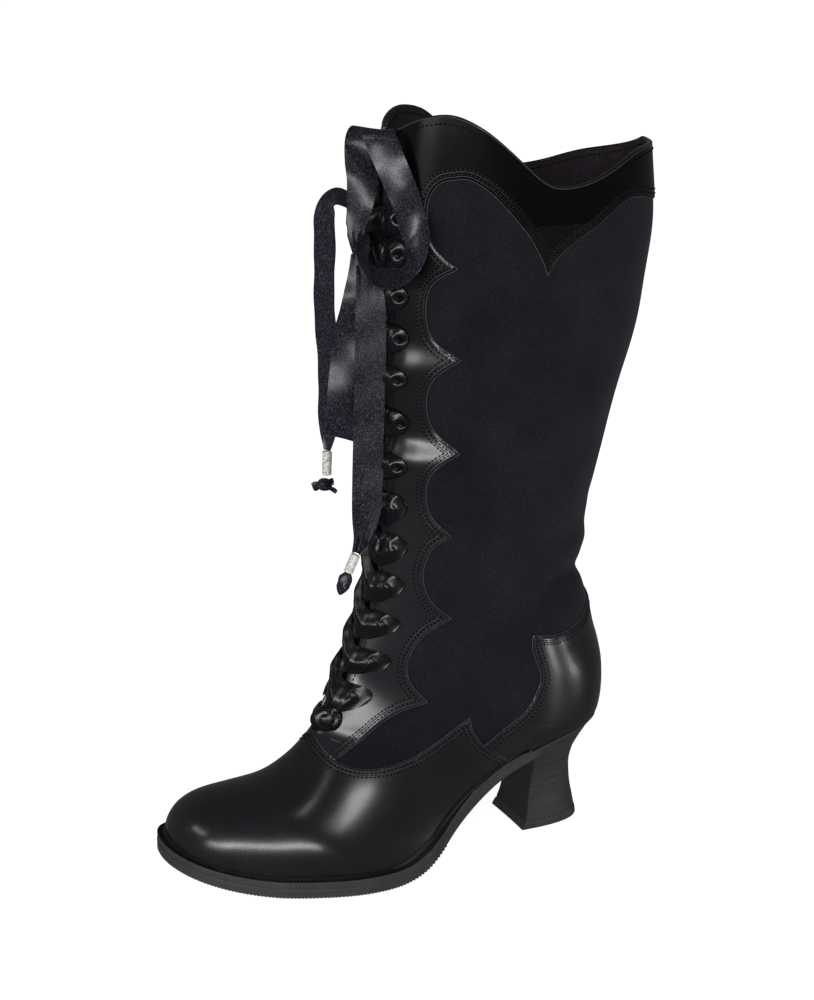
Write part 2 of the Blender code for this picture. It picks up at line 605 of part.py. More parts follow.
def build_lace_crossings():
    """Ribbon zig-zags over the throat, joined where they cross and at the eyelets."""
    eye = np.array(EYELET_ROWS)
    rows = []
    pitch = eye[1, 0] - eye[0, 0]
    rows += [(eye[0, 0] - 0.34 * pitch, 0.0, 0.56 * eye[0, 1]),
             (eye[0, 0] - 0.16 * pitch, 0.0, 0.76 * eye[0, 1])]
    for i in range(len(eye)):
        nxt = eye[min(i + 1, len(eye) - 1)]
        for share, inner, outer in CROSSING_ROWS:
            if i == len(eye) - 1 and share > 0.2:
                break
            step = nxt[0] - eye[i, 0] if i < len(eye) - 1 else pitch
            s = eye[i, 0] + share * step
            x = eye[i, 1] + (nxt[1] - eye[i, 1]) * share
            rows.append((s, inner * x, outer * x))
    rows.append((eye[-1, 0] + 0.34 * pitch, 0.0, 0.56 * eye[-1, 1]))
    rows = np.array(rows)
    x = np.column_stack([-rows[:, 2], -0.5 * (rows[:, 1] + rows[:, 2]), -rows[:, 1],
                         rows[:, 1], 0.5 * (rows[:, 1] + rows[:, 2]), rows[:, 2]])
    grid = front_point(rows[:, :1], x, LACE_CLEAR * np.ones_like(x))
    n, m = grid.shape[:2]
    faces = [f for k, f in enumerate(grid_faces(n, m)) if k % (m - 1) != 2]
    ob = make("lace_crossings", grid.reshape(-1, 3), faces, SATIN)
    thicken(ob, LACE_T, LACE_SIDE)
    return ob


# ------------------------------------------------------------------ bow
def through(rows, count):
    """Smooth path through table rows, evenly sampled by length."""
    rows = np.asarray(rows, float)
    step = np.linalg.norm(np.diff(rows[:, :3], axis=0), axis=1)
    at = np.concatenate([[0.0], np.cumsum(step)])
    pad = np.vstack([2 * rows[0] - rows[1], rows, 2 * rows[-1] - rows[-2]])
    out = []
    for q in np.linspace(0.0, at[-1], count):
        i = min(int(np.searchsorted(at, q, side="right")) - 1, len(rows) - 2)
        t = (q - at[i]) / (at[i + 1] - at[i])
        a, b, c, d = pad[i], pad[i + 1], pad[i + 2], pad[i + 3]
        out.append(0.5 * (2 * b + (c - a) * t + (2 * a - 5 * b + 4 * c - d) * t * t
                          + (3 * b - a - 3 * c + d) * t ** 3))
    return np.array(out)


def build_ribbon(name, rows, count):
    path = through(rows, count)
    mid, across, share = path[:, :3], path[:, 3:6], path[:, 6]
    tan = np.gradient(mid, axis=0)
    tan /= np.linalg.norm(tan, axis=1)[:, None]
    across = across - np.sum(across * tan, axis=1)[:, None] * tan
    across /= np.linalg.norm(across, axis=1)[:, None]
    out = np.cross(tan, across)
    w = across * (0.5 * RIBBON_W * share)[:, None]
    t = out * (0.5 * RIBBON_T)
    rings = [np.array([mid[i] - w[i] - t[i], mid[i] + w[i] - t[i],
                       mid[i] + w[i] + t[i], mid[i] - w[i] + t[i]]) for i in range(count)]
    verts, faces = loft(rings, cap=True, flip=RIBBON_FLIP)
    return make(name, verts, faces, SATIN)


def build_lump(name, row, mat, rings_n=7, around=12):
    x, y, z, face, depth, up = row
    fx, fy = BOW_FACE
    verts, faces = [(x, y, z + up)], []
    for i in range(1, rings_n):
        lat = math.pi * i / rings_n
        for j in range(around):
            lon = 2 * math.pi * j / around
            u, d = face * math.sin(lat) * math.cos(lon), depth * math.sin(lat) * math.sin(lon)
            verts.append((x + u * fx - d * fy, y + u * fy + d * fx, z + up * math.cos(lat)))
    verts.append((x, y, z - up))
    last = len(verts) - 1
    for j in range(around):
        k = (j + 1) % around
        faces.append((0, 1 + j, 1 + k))
        faces.append((last, last - around + k, last - around + j))
    for i in range(rings_n - 2):
        for j in range(around):
            k = (j + 1) % around
            a, b = 1 + i * around, 1 + (i + 1) * around
            faces.append((a + j, b + j, b + k, a + k))
    return make(name, verts, faces, mat)


def build_ferrule(name, row, around=14):
    p0, p1 = np.array(row[:3]), np.array(row[3:])
    axis = (p1 - p0) / np.linalg.norm(p1 - p0)
    u = np.cross(axis, (0.0, 1.0, 0.0))
    u /= np.linalg.norm(u)
    v = np.cross(axis, u)
    th = 2 * math.pi * np.arange(around) / around
    rings = []
    for share, k in ((0.0, 0.86), (0.06, 1.0), (0.94, 1.0), (1.0, 0.86)):
        c = p0 + (p1 - p0) * share
        rings.append(c + 0.5 * FERRULE_D * k * (np.cos(th)[:, None] * u + np.sin(th)[:, None] * v))
    verts, faces = loft(rings, cap=True)
    return make(name, verts, faces, METAL, sharp=50.0)


build_outsole()
build_welt()
build_heel()
build_heel_top_piece()
build_insole()
build_upper()
build_tongue()
build_lace_crossings()
build_lump("bow_knot", KNOT_ROW, SATIN)
build_ribbon("bow_loop_upper", LOOP_UPPER_ROWS, 54)
build_ribbon("bow_loop_hanging", LOOP_HANGING_ROWS, 40)
build_ribbon("tail_left", TAIL_LEFT_ROWS, 30)
build_ribbon("tail_front", TAIL_FRONT_ROWS, 30)
build_ferrule("ferrule_left", FERRULE_LEFT_ROW)
build_ferrule("ferrule_front", FERRULE_FRONT_ROW)
build_lump("end_knot_left", END_LEFT_ROW, SATIN)
build_lump("end_knot_front", END_FRONT_ROW, SATIN)
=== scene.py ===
"""Laced boot, left foot: looks.

Sizes in the tables are millimetres in the last frame (toe towards -Y, heel towards +Y,
outer side +X, floor at z = 0); pieces are moved to the row frame and to metres when made.
"""
import bpy
import math
import numpy as np
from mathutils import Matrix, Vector
from mathutils.bvhtree import BVHTree

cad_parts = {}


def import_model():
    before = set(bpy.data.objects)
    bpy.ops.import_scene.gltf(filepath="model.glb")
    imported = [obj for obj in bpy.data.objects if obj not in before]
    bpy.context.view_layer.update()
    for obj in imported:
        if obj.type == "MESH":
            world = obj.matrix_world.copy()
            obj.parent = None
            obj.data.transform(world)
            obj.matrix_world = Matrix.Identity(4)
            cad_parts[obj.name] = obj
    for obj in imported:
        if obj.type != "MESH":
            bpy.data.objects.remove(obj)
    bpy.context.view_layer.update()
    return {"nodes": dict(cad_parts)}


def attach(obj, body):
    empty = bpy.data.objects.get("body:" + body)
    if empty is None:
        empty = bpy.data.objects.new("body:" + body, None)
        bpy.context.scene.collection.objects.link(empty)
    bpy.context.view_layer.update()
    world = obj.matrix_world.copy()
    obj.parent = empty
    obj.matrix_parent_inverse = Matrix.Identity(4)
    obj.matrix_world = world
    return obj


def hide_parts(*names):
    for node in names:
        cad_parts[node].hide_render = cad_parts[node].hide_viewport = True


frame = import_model()

# ------------------------------------------------------------------ driving sizes (mm)
MM = 0.001
ORIGIN_X = 4.85           # middle of the box, in the last frame
ORIGIN_Y = -58.7
GAP = 0.3                 # clearance where two pieces meet
WALL = 2.2                # leather upper with its lining
INSOLE_T = 2.4
TONGUE_T = 1.8
WELT_T = 2.3
TOP_PIECE_T = 5.0
THROAT_HALF = (6.5, 9.0)  # half opening above the vamp point and at the collar
RIBBON_W = 15.5           # satin ribbon
RIBBON_T = 0.9
LACE_CLEAR = 1.3          # crossings stand this far off the upper
LACE_T = 1.0
FERRULE_D = 4.8
WELT_END_Y = -34.0        # the welt runs round the forefoot from here
WELT_INSET = 1.6          # its inner edge, outside the feather edge
TONGUE_HALF = (24.0, 17.0)   # half width at the collar and under the vamp point

# sections of the upper, collar to toe. Each is a closed curve in a plane across the boot:
# front (or crest) point, far point (back line, then a base line under the foot), half
# widths, place of the widest point along it, sideways shift of its middle, squareness of
# its crown and of its lower part. Below the heel the curves are cut where they meet the sole.
UPPER_COLUMNS = ("front_y", "front_z", "base_y", "base_z", "half_lat", "half_med",
                 "widest", "centre", "crown", "side")
UPPER_ROWS = {
    "collar":     (-71.0, 384.0, 74.6, 372.0, 47.0, 47.0, 0.50, 0.0, 1.00, 1.00),
    "band":       (-75.0, 345.0, 77.4, 338.0, 47.5, 47.5, 0.50, 0.0, 1.00, 1.00),
    "calf":       (-76.8, 295.0, 72.8, 292.0, 46.5, 46.5, 0.50, 0.0, 1.00, 1.00),
    "mid_shaft":  (-77.3, 245.0, 58.0, 240.0, 43.5, 43.5, 0.50, 0.0, 1.00, 1.00),
    "low_shaft":  (-77.6, 197.0, 45.0, 188.0, 39.5, 39.5, 0.51, 0.0, 1.00, 1.00),
    "ankle":      (-80.5, 159.0, 39.0, 150.0, 36.0, 36.0, 0.54, 0.0, 1.00, 1.00),
    "heel_top":   (-86.5, 134.0, 46.2, 121.0, 34.5, 34.5, 0.58, 0.0, 1.00, 0.97),
    "heel_mid":   (-93.0, 115.0, 52.3, 95.0, 33.5, 33.5, 0.63, 0.0, 1.00, 0.92),
    "heel_low":   (-98.0, 103.0, 53.8, 76.0, 33.0, 33.0, 0.66, 0.0, 1.00, 0.88),
    "seat_back":  (-102.0, 95.0, 51.0, 61.3, 32.8, 32.8, 0.68, 0.0, 1.00, 0.86),
    "seat_round": (-105.5, 87.5, 48.5, 56.8, 32.8, 32.6, 0.70, 0.2, 1.00, 0.86),
    "seat_side":  (-109.0, 80.5, 41.5, 53.0, 33.0, 32.5, 0.71, 0.5, 1.00, 0.87),
    "shank":      (-112.3, 75.0, 19.0, 48.0, 33.5, 32.3, 0.73, 0.8, 1.00, 0.88),
    "waist":      (-115.0, 70.8, -5.0, 41.0, 34.5, 32.5, 0.75, 1.2, 1.00, 0.90),
    "arch":       (-119.5, 65.0, -36.5, 21.5, 38.5, 34.5, 0.76, 2.0, 0.98, 0.90),
    "tread":      (-127.5, 57.5, -61.0, -1.5, 46.8, 40.0, 0.76, 3.2, 0.96, 0.90),
    "ball":       (-140.0, 49.0, -91.0, -5.6, 50.5, 43.8, 0.75, 3.5, 0.94, 0.90),
    "toe_root":   (-156.0, 44.0, -128.5, -4.2, 48.5, 45.0, 0.75, -0.5, 0.92, 0.90),
    "toe":        (-173.0, 39.6, -163.0, -0.5, 45.5, 45.0, 0.75, -6.0, 0.90, 0.90),
    "toe_end":    (-185.6, 32.0, -182.5, 5.8, 43.0, 43.0, 0.75, -9.0, 0.90, 0.90),
    "toe_tip":    (-190.8, 22.0, -190.5, 11.0, 42.0, 42.0, 0.75, -10.0, 0.90, 0.90),
}
TOE_CAP_FROM = "ball"     # from here the widths close on the toe as a superellipse
TOE_CAP_POWER = 2.35
THROAT_ROW = "waist"      # the throat's lowest point lies on this section

# height of the feather edge (top of the outsole) along the boot
SOLE_COLUMNS = ("y", "feather_z", "sole_t", "rim")   # rim: how far the sole stands out
SOLE_ROWS = (
    (-190.5, 12.8, 5.2, 4.8),
    (-182.5, 10.6, 5.2, 4.8),
    (-165.0, 7.2, 5.2, 5.0),
    (-147.0, 5.5, 5.2, 5.2),
    (-134.0, 5.5, 5.2, 5.2),
    (-104.0, 5.5, 5.2, 5.2),
    (-88.0, 5.5, 5.2, 5.4),
    (-73.0, 9.0, 5.4, 5.4),
    (-61.0, 16.5, 5.8, 5.2),
    (-48.0, 27.0, 6.0, 4.6),
    (-33.5, 37.0, 5.9, 3.4),
    (-18.5, 45.5, 5.6, 2.4),
    (0.0, 52.0, 5.2, 1.4),
    (18.0, 56.8, 4.2, 0.4),
    (40.0, 60.2, 3.4, -0.3),
    (51.0, 61.3, 3.2, -0.4),
)

# collar edge, by angle round the shaft from the front, on each side
COLLAR_COLUMNS = ("angle", "lat_z", "med_z")
COLLAR_ROWS = ((0.0, 380.5, 380.5), (12.0, 382.0, 381.5), (28.0, 388.0, 386.5),
               (43.0, 390.2, 389.8), (58.0, 383.6, 387.4), (76.0, 365.4, 370.6),
               (88.0, 353.6, 357.4), (100.0, 354.4, 354.4), (112.0, 358.8, 355.6),
               (136.0, 369.2, 362.5), (154.0, 370.8, 365.5), (167.0, 371.0, 368.0),
               (180.0, 371.6, 371.6))
COLLAR_RAMP = 75.0        # the edge's wave dies out this far below the collar

# stacked heel, from its base to the seat: share of the height, front, back, half width
HEEL_COLUMNS = ("share", "front_y", "back_y", "half")
HEEL_ROWS = (
    (0.00, 2.6, 39.0, 18.8),
    (0.12, 4.0, 37.8, 17.8),
    (0.32, 5.3, 36.0, 16.4),
    (0.52, 6.8, 35.4, 16.0),
    (0.70, 7.6, 37.0, 17.8),
    (0.84, 6.0, 40.6, 21.0),
    (0.93, 2.5, 44.0, 23.4),
    (1.00, -3.4, 47.2, 25.4),
)
TOP_PIECE_COLUMNS = ("z", "front_y", "back_y", "half")
TOP_PIECE_ROWS = ((0.0, 0.6, 39.4, 18.6), (0.9, 0.0, 40.0, 19.3), (4.4, 2.2, 39.6, 19.2),
                  (5.0, 2.6, 39.2, 18.8))

# eyelets, collar to vamp: place along the sections and distance from the middle
EYELET_COLUMNS = ("s", "x")
EYELET_ROWS = ((42.0, 19.5), (58.4, 20.0), (79.1, 20.9), (100.5, 21.1), (121.9, 21.2),
               (146.1, 21.2), (169.6, 20.9), (191.7, 19.8), (213.1, 20.1), (234.5, 19.7),
               (257.3, 19.6), (281.5, 18.6), (305.7, 16.6), (325.7, 14.3))
# ribbon crossing between two eyelet rows: share of the pitch, inner and outer half width
# as shares of the eyelet's distance
CROSSING_COLUMNS = ("share", "inner", "outer")
CROSSING_ROWS = ((0.00, 0.27, 0.92), (0.16, 0.0, 0.76), (0.50, 0.0, 0.50),
                 (0.84, 0.0, 0.76))

# ribbons of the bow: middle of the ribbon, direction across it, share of the full width
RIBBON_COLUMNS = ("x", "y", "z", "across_x", "across_y", "across_z", "share")
LOOP_UPPER_ROWS = (
    (8.0, -89.6, 321.5, 0.39, 0.92, 0.00, 0.34),
    (8.0, -91.0, 331.0, 0.39, 0.92, 0.02, 0.50),
    (8.0, -88.9, 344.3, 0.39, 0.92, 0.03, 0.82),
    (6.0, -86.3, 357.4, 0.39, 0.92, 0.00, 1.0),
    (4.0, -86.6, 368.0, 0.39, 0.92, 0.00, 1.0),
    (2.8, -85.8, 378.0, 0.39, 0.92, 0.02, 0.98),
    (8.0, -81.2, 383.2, 0.39, 0.92, 0.09, 1.18),
    (14.2, -80.6, 380.0, 0.39, 0.92, 0.00, 1.05),
    (18.0, -78.2, 371.0, 0.37, 0.88, 0.20, 1.0),
    (22.5, -73.0, 355.7, 0.39, 0.90, 0.00, 1.0),
    (28.0, -69.8, 341.7, 0.42, 0.86, -0.28, 1.0),
    (31.5, -68.5, 328.9, 0.80, 0.58, -0.10, 1.0),
    (31.8, -68.9, 319.5, 0.96, 0.20, -0.12, 1.0),
    (29.0, -73.2, 312.8, 0.94, -0.21, -0.22, 1.0),
    (24.0, -79.0, 311.6, 0.88, -0.36, -0.30, 1.0),
    (20.0, -84.8, 313.2, 0.82, -0.45, -0.36, 1.0),
    (14.5, -89.2, 319.4, 0.62, -0.76, -0.22, 0.80),
    (9.0, -88.4, 328.8, 0.46, -0.87, -0.10, 0.52),
    (5.5, -85.2, 338.5, 0.42, -0.90, 0.00, 0.16),
)
LOOP_HANGING_ROWS = (
    (4.0, -88.2, 321.6, 0.39, 0.92, -0.20, 0.45),
    (6.0, -87.4, 307.3, 0.39, 0.92, -0.20, 0.95),
    (6.0, -90.5, 293.1, 0.39, 0.92, -0.17, 1.0),
    (4.0, -93.3, 279.7, 0.39, 0.92, -0.16, 1.0),
    (2.5, -95.3, 259.7, 0.39, 0.92, -0.15, 1.0),
    (2.5, -97.1, 242.0, 0.39, 0.92, -0.15, 1.0),
    (1.5, -97.3, 231.1, 0.39, 0.92, -0.18, 1.0),
    (-1.8, -95.8, 225.2, 0.39, 0.92, -0.18, 1.0),
    (-5.2, -93.8, 229.6, 0.39, 0.92, -0.18, 1.0),
    (-4.8, -91.6, 244.0, 0.42, 0.90, -0.15, 1.0),
    (-3.0, -88.5, 275.0, 0.60, 0.78, -0.14, 1.0),
    (-2.0, -85.6, 300.8, 0.75, 0.65, -0.12, 0.9),
    (-2.0, -85.0, 317.3, 0.75, 0.65, -0.10, 0.5),
)
TAIL_LEFT_ROWS = (
    (-8.0, -86.2, 344.6, 0.80, -0.34, -0.48, 0.7),
    (-12.0, -92.0, 347.6, 0.82, -0.30, -0.48, 0.9),
    (-15.0, -95.4, 345.2, 0.93, 0.02, -0.38, 1.0),
    (-17.0, -97.5, 337.6, 0.95, 0.30, -0.14, 1.0),
    (-17.0, -98.0, 326.3, 0.93, 0.37, 0.00, 1.0),
    (-17.0, -98.3, 301.0, 0.93, 0.37, 0.00, 1.0),
    (-17.0, -97.0, 269.2, 0.93, 0.37, 0.00, 1.0),
    (-17.0, -96.5, 236.5, 0.93, 0.37, 0.00, 1.0),
    (-17.0, -97.0, 225.4, 0.93, 0.37, 0.00, 0.75),
    (-17.0, -97.5, 216.2, 0.93, 0.37, 0.00, 0.29),
)
TAIL_FRONT_ROWS = (
    (8.0, -87.3, 317.0, 0.39, 0.92, -0.30, 0.42),
    (9.5, -84.8, 304.9, 0.39, 0.92, -0.28, 0.85),
    (11.0, -84.4, 288.7, 0.39, 0.92, -0.14, 1.0),
    (11.0, -85.2, 251.0, 0.39, 0.92, -0.08, 1.0),
    (11.0, -86.1, 222.6, 0.39, 0.92, -0.10, 1.0),
    (11.0, -86.8, 196.3, 0.39, 0.92, -0.12, 1.0),
    (10.5, -87.8, 184.1, 0.39, 0.92, -0.18, 0.85),
    (10.0, -89.4, 174.9, 0.39, 0.92, -0.18, 0.55),
    (9.30, -92.2, 167.4, 0.39, 0.92, -0.20, 0.29),
)
# lumps: middle, then half sizes sideways to the ribbon's face, through it and upright
LUMP_COLUMNS = ("x", "y", "z", "half_face", "half_depth", "half_z")
KNOT_ROW = (-4.0, -86.8, 335.6, 4.3, 4.6, 11.0)
END_LEFT_ROW = (-17.2, -99.2, 197.4, 6.0, 4.6, 4.0)
END_FRONT_ROW = (7.95, -98.85, 151.0, 3.6, 3.4, 5.8)
# ferrules: top and bottom end
FERRULE_COLUMNS = ("x0", "y0", "z0", "x1", "y1", "z1")
FERRULE_LEFT_ROW = (-17.0, -97.6, 215.6, -17.0, -98.2, 203.2)
FERRULE_FRONT_ROW = (9.2, -92.6, 166.6, 8.5, -96.5, 157.4)
BOW_FACE = (0.39, 0.92)   # sideways direction of the bow, in plan


# ------------------------------------------------------------------ curves through rows
def smooth(xs, ys, x):
    """Monotone cubic through (xs, ys), straight past the ends."""
    xs, ys = np.asarray(xs, float), np.asarray(ys, float)
    x = np.asarray(x, float)
    h = np.diff(xs)
    d = np.diff(ys) / h
    m = np.zeros_like(ys)
    m[0], m[-1] = d[0], d[-1]
    for i in range(1, len(xs) - 1):
        if d[i - 1] * d[i] > 0.0:
            w1, w2 = 2 * h[i] + h[i - 1], h[i] + 2 * h[i - 1]
            m[i] = (w1 + w2) / (w1 / d[i - 1] + w2 / d[i])
    xc = np.clip(x, xs[0], xs[-1])
    i = np.clip(np.searchsorted(xs, xc) - 1, 0, len(h) - 1)
    t = (xc - xs[i]) / h[i]
    t2, t3 = t * t, t * t * t
    return ((2 * t3 - 3 * t2 + 1) * ys[i] + (t3 - 2 * t2 + t) * h[i] * m[i]
            + (-2 * t3 + 3 * t2) * ys[i + 1] + (t3 - t2) * h[i] * m[i + 1])


ROW_NAMES = list(UPPER_ROWS)
TABLE = np.array([UPPER_ROWS[n] for n in ROW_NAMES])
STEP = (0.5 * np.hypot(np.diff(TABLE[:, 0]), np.diff(TABLE[:, 1]))
        + 0.5 * np.hypot(np.diff(TABLE[:, 2]), np.diff(TABLE[:, 3])))
ROW_S = np.concatenate([[0.0], np.cumsum(STEP)])
S_OF = dict(zip(ROW_NAMES, ROW_S))
S_END = ROW_S[-1]


FINE_S = np.arange(-40.0, S_END + 40.0, 0.5)


def evened(at, ys, fine, spread):
    """Curve through a table's rows with its bends evened out over spread millimetres."""
    y = smooth(at, ys, fine)
    first = smooth(at, ys, at[0] + 0.01) - smooth(at, ys, at[0])
    last = smooth(at, ys, at[-1]) - smooth(at, ys, at[-1] - 0.01)
    y = np.where(fine < at[0], ys[0] + (fine - at[0]) * first / 0.01, y)
    y = np.where(fine > at[-1], ys[-1] + (fine - at[-1]) * last / 0.01, y)
    k = np.arange(-int(3 * spread / 0.5), int(3 * spread / 0.5) + 1) * 0.5
    w = np.exp(-0.5 * (k / spread) ** 2)
    w /= w.sum()
    pad = len(k) // 2
    ext = np.concatenate([y[0] + (y[1] - y[0]) * np.arange(-pad, 0), y, y[-1] + (y[-1] - y[-2]) * np.arange(1, pad + 1)])
    return np.convolve(ext, w, mode="valid")


FINE = {n: evened(ROW_S, TABLE[:, k], FINE_S, 5.0) for k, n in enumerate(UPPER_COLUMNS)}


def column(name, s):
    return np.interp(s, FINE_S, FINE[name])


SOLE = np.array(SOLE_ROWS)


FINE_Y = np.arange(-260.0, 120.0, 0.5)
FINE_SOLE = {n: evened(SOLE[:, 0], SOLE[:, k], FINE_Y, 3.5) for k, n in enumerate(SOLE_COLUMNS)}


def sole(name, y):
    return np.interp(y, FINE_Y, FINE_SOLE[name])


COLLAR = np.array(COLLAR_ROWS)


def toe_cap(s):
    u = np.clip((s - S_OF[TOE_CAP_FROM]) / (S_END - S_OF[TOE_CAP_FROM]), 0.0, 1.0)
    return np.maximum(1.0 - u ** TOE_CAP_POWER, 0.0) ** (1.0 / TOE_CAP_POWER)


def sole_cut(s):
    """Share of each section's front-to-far line that lies above the sole."""
    s = np.asarray(s, float)
    fy, fz = column("front_y", s), column("front_z", s)
    by, bz = column("base_y", s), column("base_z", s)
    low, high = np.full_like(s, 0.3), np.ones_like(s)
    for _ in range(46):
        p = 0.5 * (low + high)
        above = fz + (bz - fz) * p > sole("feather_z", fy + (by - fy) * p)
        low, high = np.where(above, p, low), np.where(above, high, p)
    return np.where(s > S_OF["seat_back"] + 1e-6, high, 1.0)


def end_angle(s):
    """Angle round each section at which it ends: half a turn where it is closed."""
    w = column("widest", s)
    return np.arccos(np.clip(-(sole_cut(s) - w) / (1.0 - w), -1.0, 1.0))


def half_width(side, s, a):
    """Half width of a section at an angle from its crest."""
    power = np.where(a < math.pi / 2, column("crown", s), column("side", s))
    half = np.maximum(column("half_" + side, s) * toe_cap(s), 1e-9)
    return half * np.maximum(np.sin(a), 0.0) ** power


def feather(side, s):
    """Feather edge: where the upper stands on the sole."""
    s = np.asarray(s, float)
    sign = 1.0 if side == "lat" else -1.0
    p = sole_cut(s)
    y = column("front_y", s) + (column("base_y", s) - column("front_y", s)) * p
    x = column("centre", s) + sign * half_width(side, s, end_angle(s))
    return np.stack([x, y, sole("feather_z", y)], -1)


def throat_half(s):
    """Half opening of the throat: zero at the vamp point, widening to the collar."""
    s0, low, high = S_OF[THROAT_ROW], THROAT_HALF[0], THROAT_HALF[1]
    up = np.clip((s0 - s) / s0, 0.0, 1.0)
    start = np.clip((s0 - s) / 10.0, 0.0, 1.0)
    return (low + (high - low) * up) * np.sqrt(np.maximum(1.0 - (1.0 - start) ** 2, 0.0))


SIDE_ANGLE = math.radians(86.0)   # half of the columns lie in front of this angle


def section_point(side, s, a):
    """Outer face of the closed section s at angle a from its crest."""
    s, a = np.broadcast_arrays(np.asarray(s, float), np.asarray(a, float))
    sign = 1.0 if side == "lat" else -1.0
    fy, fz = column("front_y", s), column("front_z", s)
    by, bz = column("base_y", s), column("base_z", s)
    w = column("widest", s)
    p = np.where(a < math.pi / 2, w * (1.0 - np.cos(a)), w - (1.0 - w) * np.cos(a))
    x = column("centre", s) + sign * half_width(side, s, a)
    y = fy + (by - fy) * p
    z = fz + (bz - fz) * p
    rim = smooth(COLLAR[:, 0], COLLAR[:, 1 if side == "lat" else 2], np.degrees(a))
    flat = UPPER_ROWS["collar"]
    wave = rim - (flat[1] + (flat[3] - flat[1]) * p)
    fade = np.clip(1.0 - s / COLLAR_RAMP, 0.0, 1.0)
    z = z + wave * fade * fade * (3 - 2 * fade)
    return np.stack([x, y, z], -1)


def upper_point(side, s, t):
    """Outer face of the upper at section s, t = 0 at the throat or crest, 1 at the end."""
    s, t = np.broadcast_arrays(np.asarray(s, float), np.asarray(t, float))
    half = np.maximum(column("half_" + side, s) * toe_cap(s), 1e-9)
    a0 = np.arcsin(np.clip(throat_half(s) / half, 0.0, 0.9) ** (1.0 / column("crown", s)))
    a = np.where(t < 0.5, a0 + (SIDE_ANGLE - a0) * 2.0 * t,
                 SIDE_ANGLE + (end_angle(s) - SIDE_ANGLE) * (2.0 * t - 1.0))
    return section_point(side, s, a)


def front_point(s, x, off):
    """Point of the boot's front at section s, x from the middle, off outside the face."""
    s, x = np.broadcast_arrays(np.asarray(s, float), np.asarray(x, float))

    def face(q, u):
        lat = column("half_lat", q)
        med = column("half_med", q)
        a = np.arcsin(np.clip(np.abs(u) / np.where(u >= 0, lat, med), 0.0, 0.95))
        return np.where((u >= 0)[..., None], section_point("lat", q, a), section_point("med", q, a))

    ds, dx = 0.6, 0.6
    along = face(s + ds, x) - face(s - ds, x)
    across = face(s, x + dx) - face(s, x - dx)
    n = np.cross(along, across)
    n /= np.linalg.norm(n, axis=-1, keepdims=True)
    n = np.where((n[..., 1] > 0)[..., None], -n, n)
    return face(s, x) + n * np.asarray(off)[..., None]


# ------------------------------------------------------------------ helpers
ORIGIN = np.array([ORIGIN_X, ORIGIN_Y, 0.0])
RNG = np.random.default_rng(7)


def row(p):
    """Last-frame millimetres to row-frame metres."""
    return (np.asarray(p, float) - ORIGIN) * MM


def unit(v):
    return v / np.maximum(np.linalg.norm(v, axis=-1, keepdims=True), 1e-12)


def mesh_piece(name, verts, faces, mats, index=None, uv=None, sharp=None):
    """Piece from last-frame points. faces: arrays of triangles and quads."""
    verts = np.asarray(verts, float)
    groups = [np.asarray(f, int) for f in (faces if isinstance(faces, (list, tuple)) else [faces])]
    groups = [g for g in groups if len(g)]
    mesh = bpy.data.meshes.new(name)
    loops = np.concatenate([g.reshape(-1) for g in groups])
    sizes = np.concatenate([np.full(len(g), g.shape[1]) for g in groups])
    starts = np.concatenate([[0], np.cumsum(sizes)[:-1]])
    mesh.vertices.add(len(verts))
    mesh.vertices.foreach_set("co", row(verts).astype(np.float32).reshape(-1))
    mesh.loops.add(len(loops))
    mesh.loops.foreach_set("vertex_index", loops.astype(np.int32))
    mesh.polygons.add(len(sizes))
    mesh.polygons.foreach_set("loop_start", starts.astype(np.int32))
    mesh.polygons.foreach_set("loop_total", sizes.astype(np.int32))
    mats = mats if isinstance(mats, (list, tuple)) else [mats]
    for m in mats:
        mesh.materials.append(m)
    if index is not None:
        mesh.polygons.foreach_set("material_index", np.asarray(index, np.int32))
    if uv is not None:
        layer = mesh.uv_layers.new(name="UVMap")
        layer.data.foreach_set("uv", np.asarray(uv, np.float32)[loops].reshape(-1))
    mesh.update(calc_edges=True)
    mesh.validate()
    mesh.shade_smooth()
    if sharp is not None:
        mesh.set_sharp_from_angle(angle=math.radians(sharp))
    ob = bpy.data.objects.new(name, mesh)
    bpy.context.scene.collection.objects.link(ob)
    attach(ob, "root")
    return ob


def quads(rows, cols, base=0, flip=False, wrap=False):
    i, j = np.meshgrid(np.arange(rows - 1), np.arange(cols if wrap else cols - 1), indexing="ij")
    k = (j + 1) % cols
    q = np.stack([i * cols + j, i * cols + k, (i + 1) * cols + k, (i + 1) * cols + j], -1)
    q = q.reshape(-1, 4) + base
    return q[:, ::-1] if flip else q


def plate(name, grid, normal, thick, mats, uv=None, sharp=50.0, flip=False):
    """Closed thin body: a grid of points thickened by thick along normal, both ways alike."""
    n, m = grid.shape[:2]
    up = (grid + normal * thick / 2).reshape(-1, 3)
    down = (grid - normal * thick / 2).reshape(-1, 3)
    c = n * m
    rim = [quads(n, m, 0, flip), quads(n, m, c, not flip)]
    e = np.arange(m - 1)
    side = [np.stack([e, e + 1, c + e + 1, c + e], -1)[:, ::1 if flip else -1]]
    b = (n - 1) * m
    side.append(np.stack([b + e, b + e + 1, c + b + e + 1, c + b + e], -1)[:, ::-1 if flip else 1])
    e = np.arange(n - 1) * m
    side.append(np.stack([e, e + m, c + e + m, c + e], -1)[:, ::-1 if flip else 1])
    e = e + m - 1
    side.append(np.stack([e, e + m, c + e + m, c + e], -1)[:, ::1 if flip else -1])
    tex = None if uv is None else np.concatenate([uv.reshape(-1, 2), uv.reshape(-1, 2)])
    return mesh_piece(name, np.concatenate([up, down]), rim + side, mats, uv=tex, sharp=sharp)


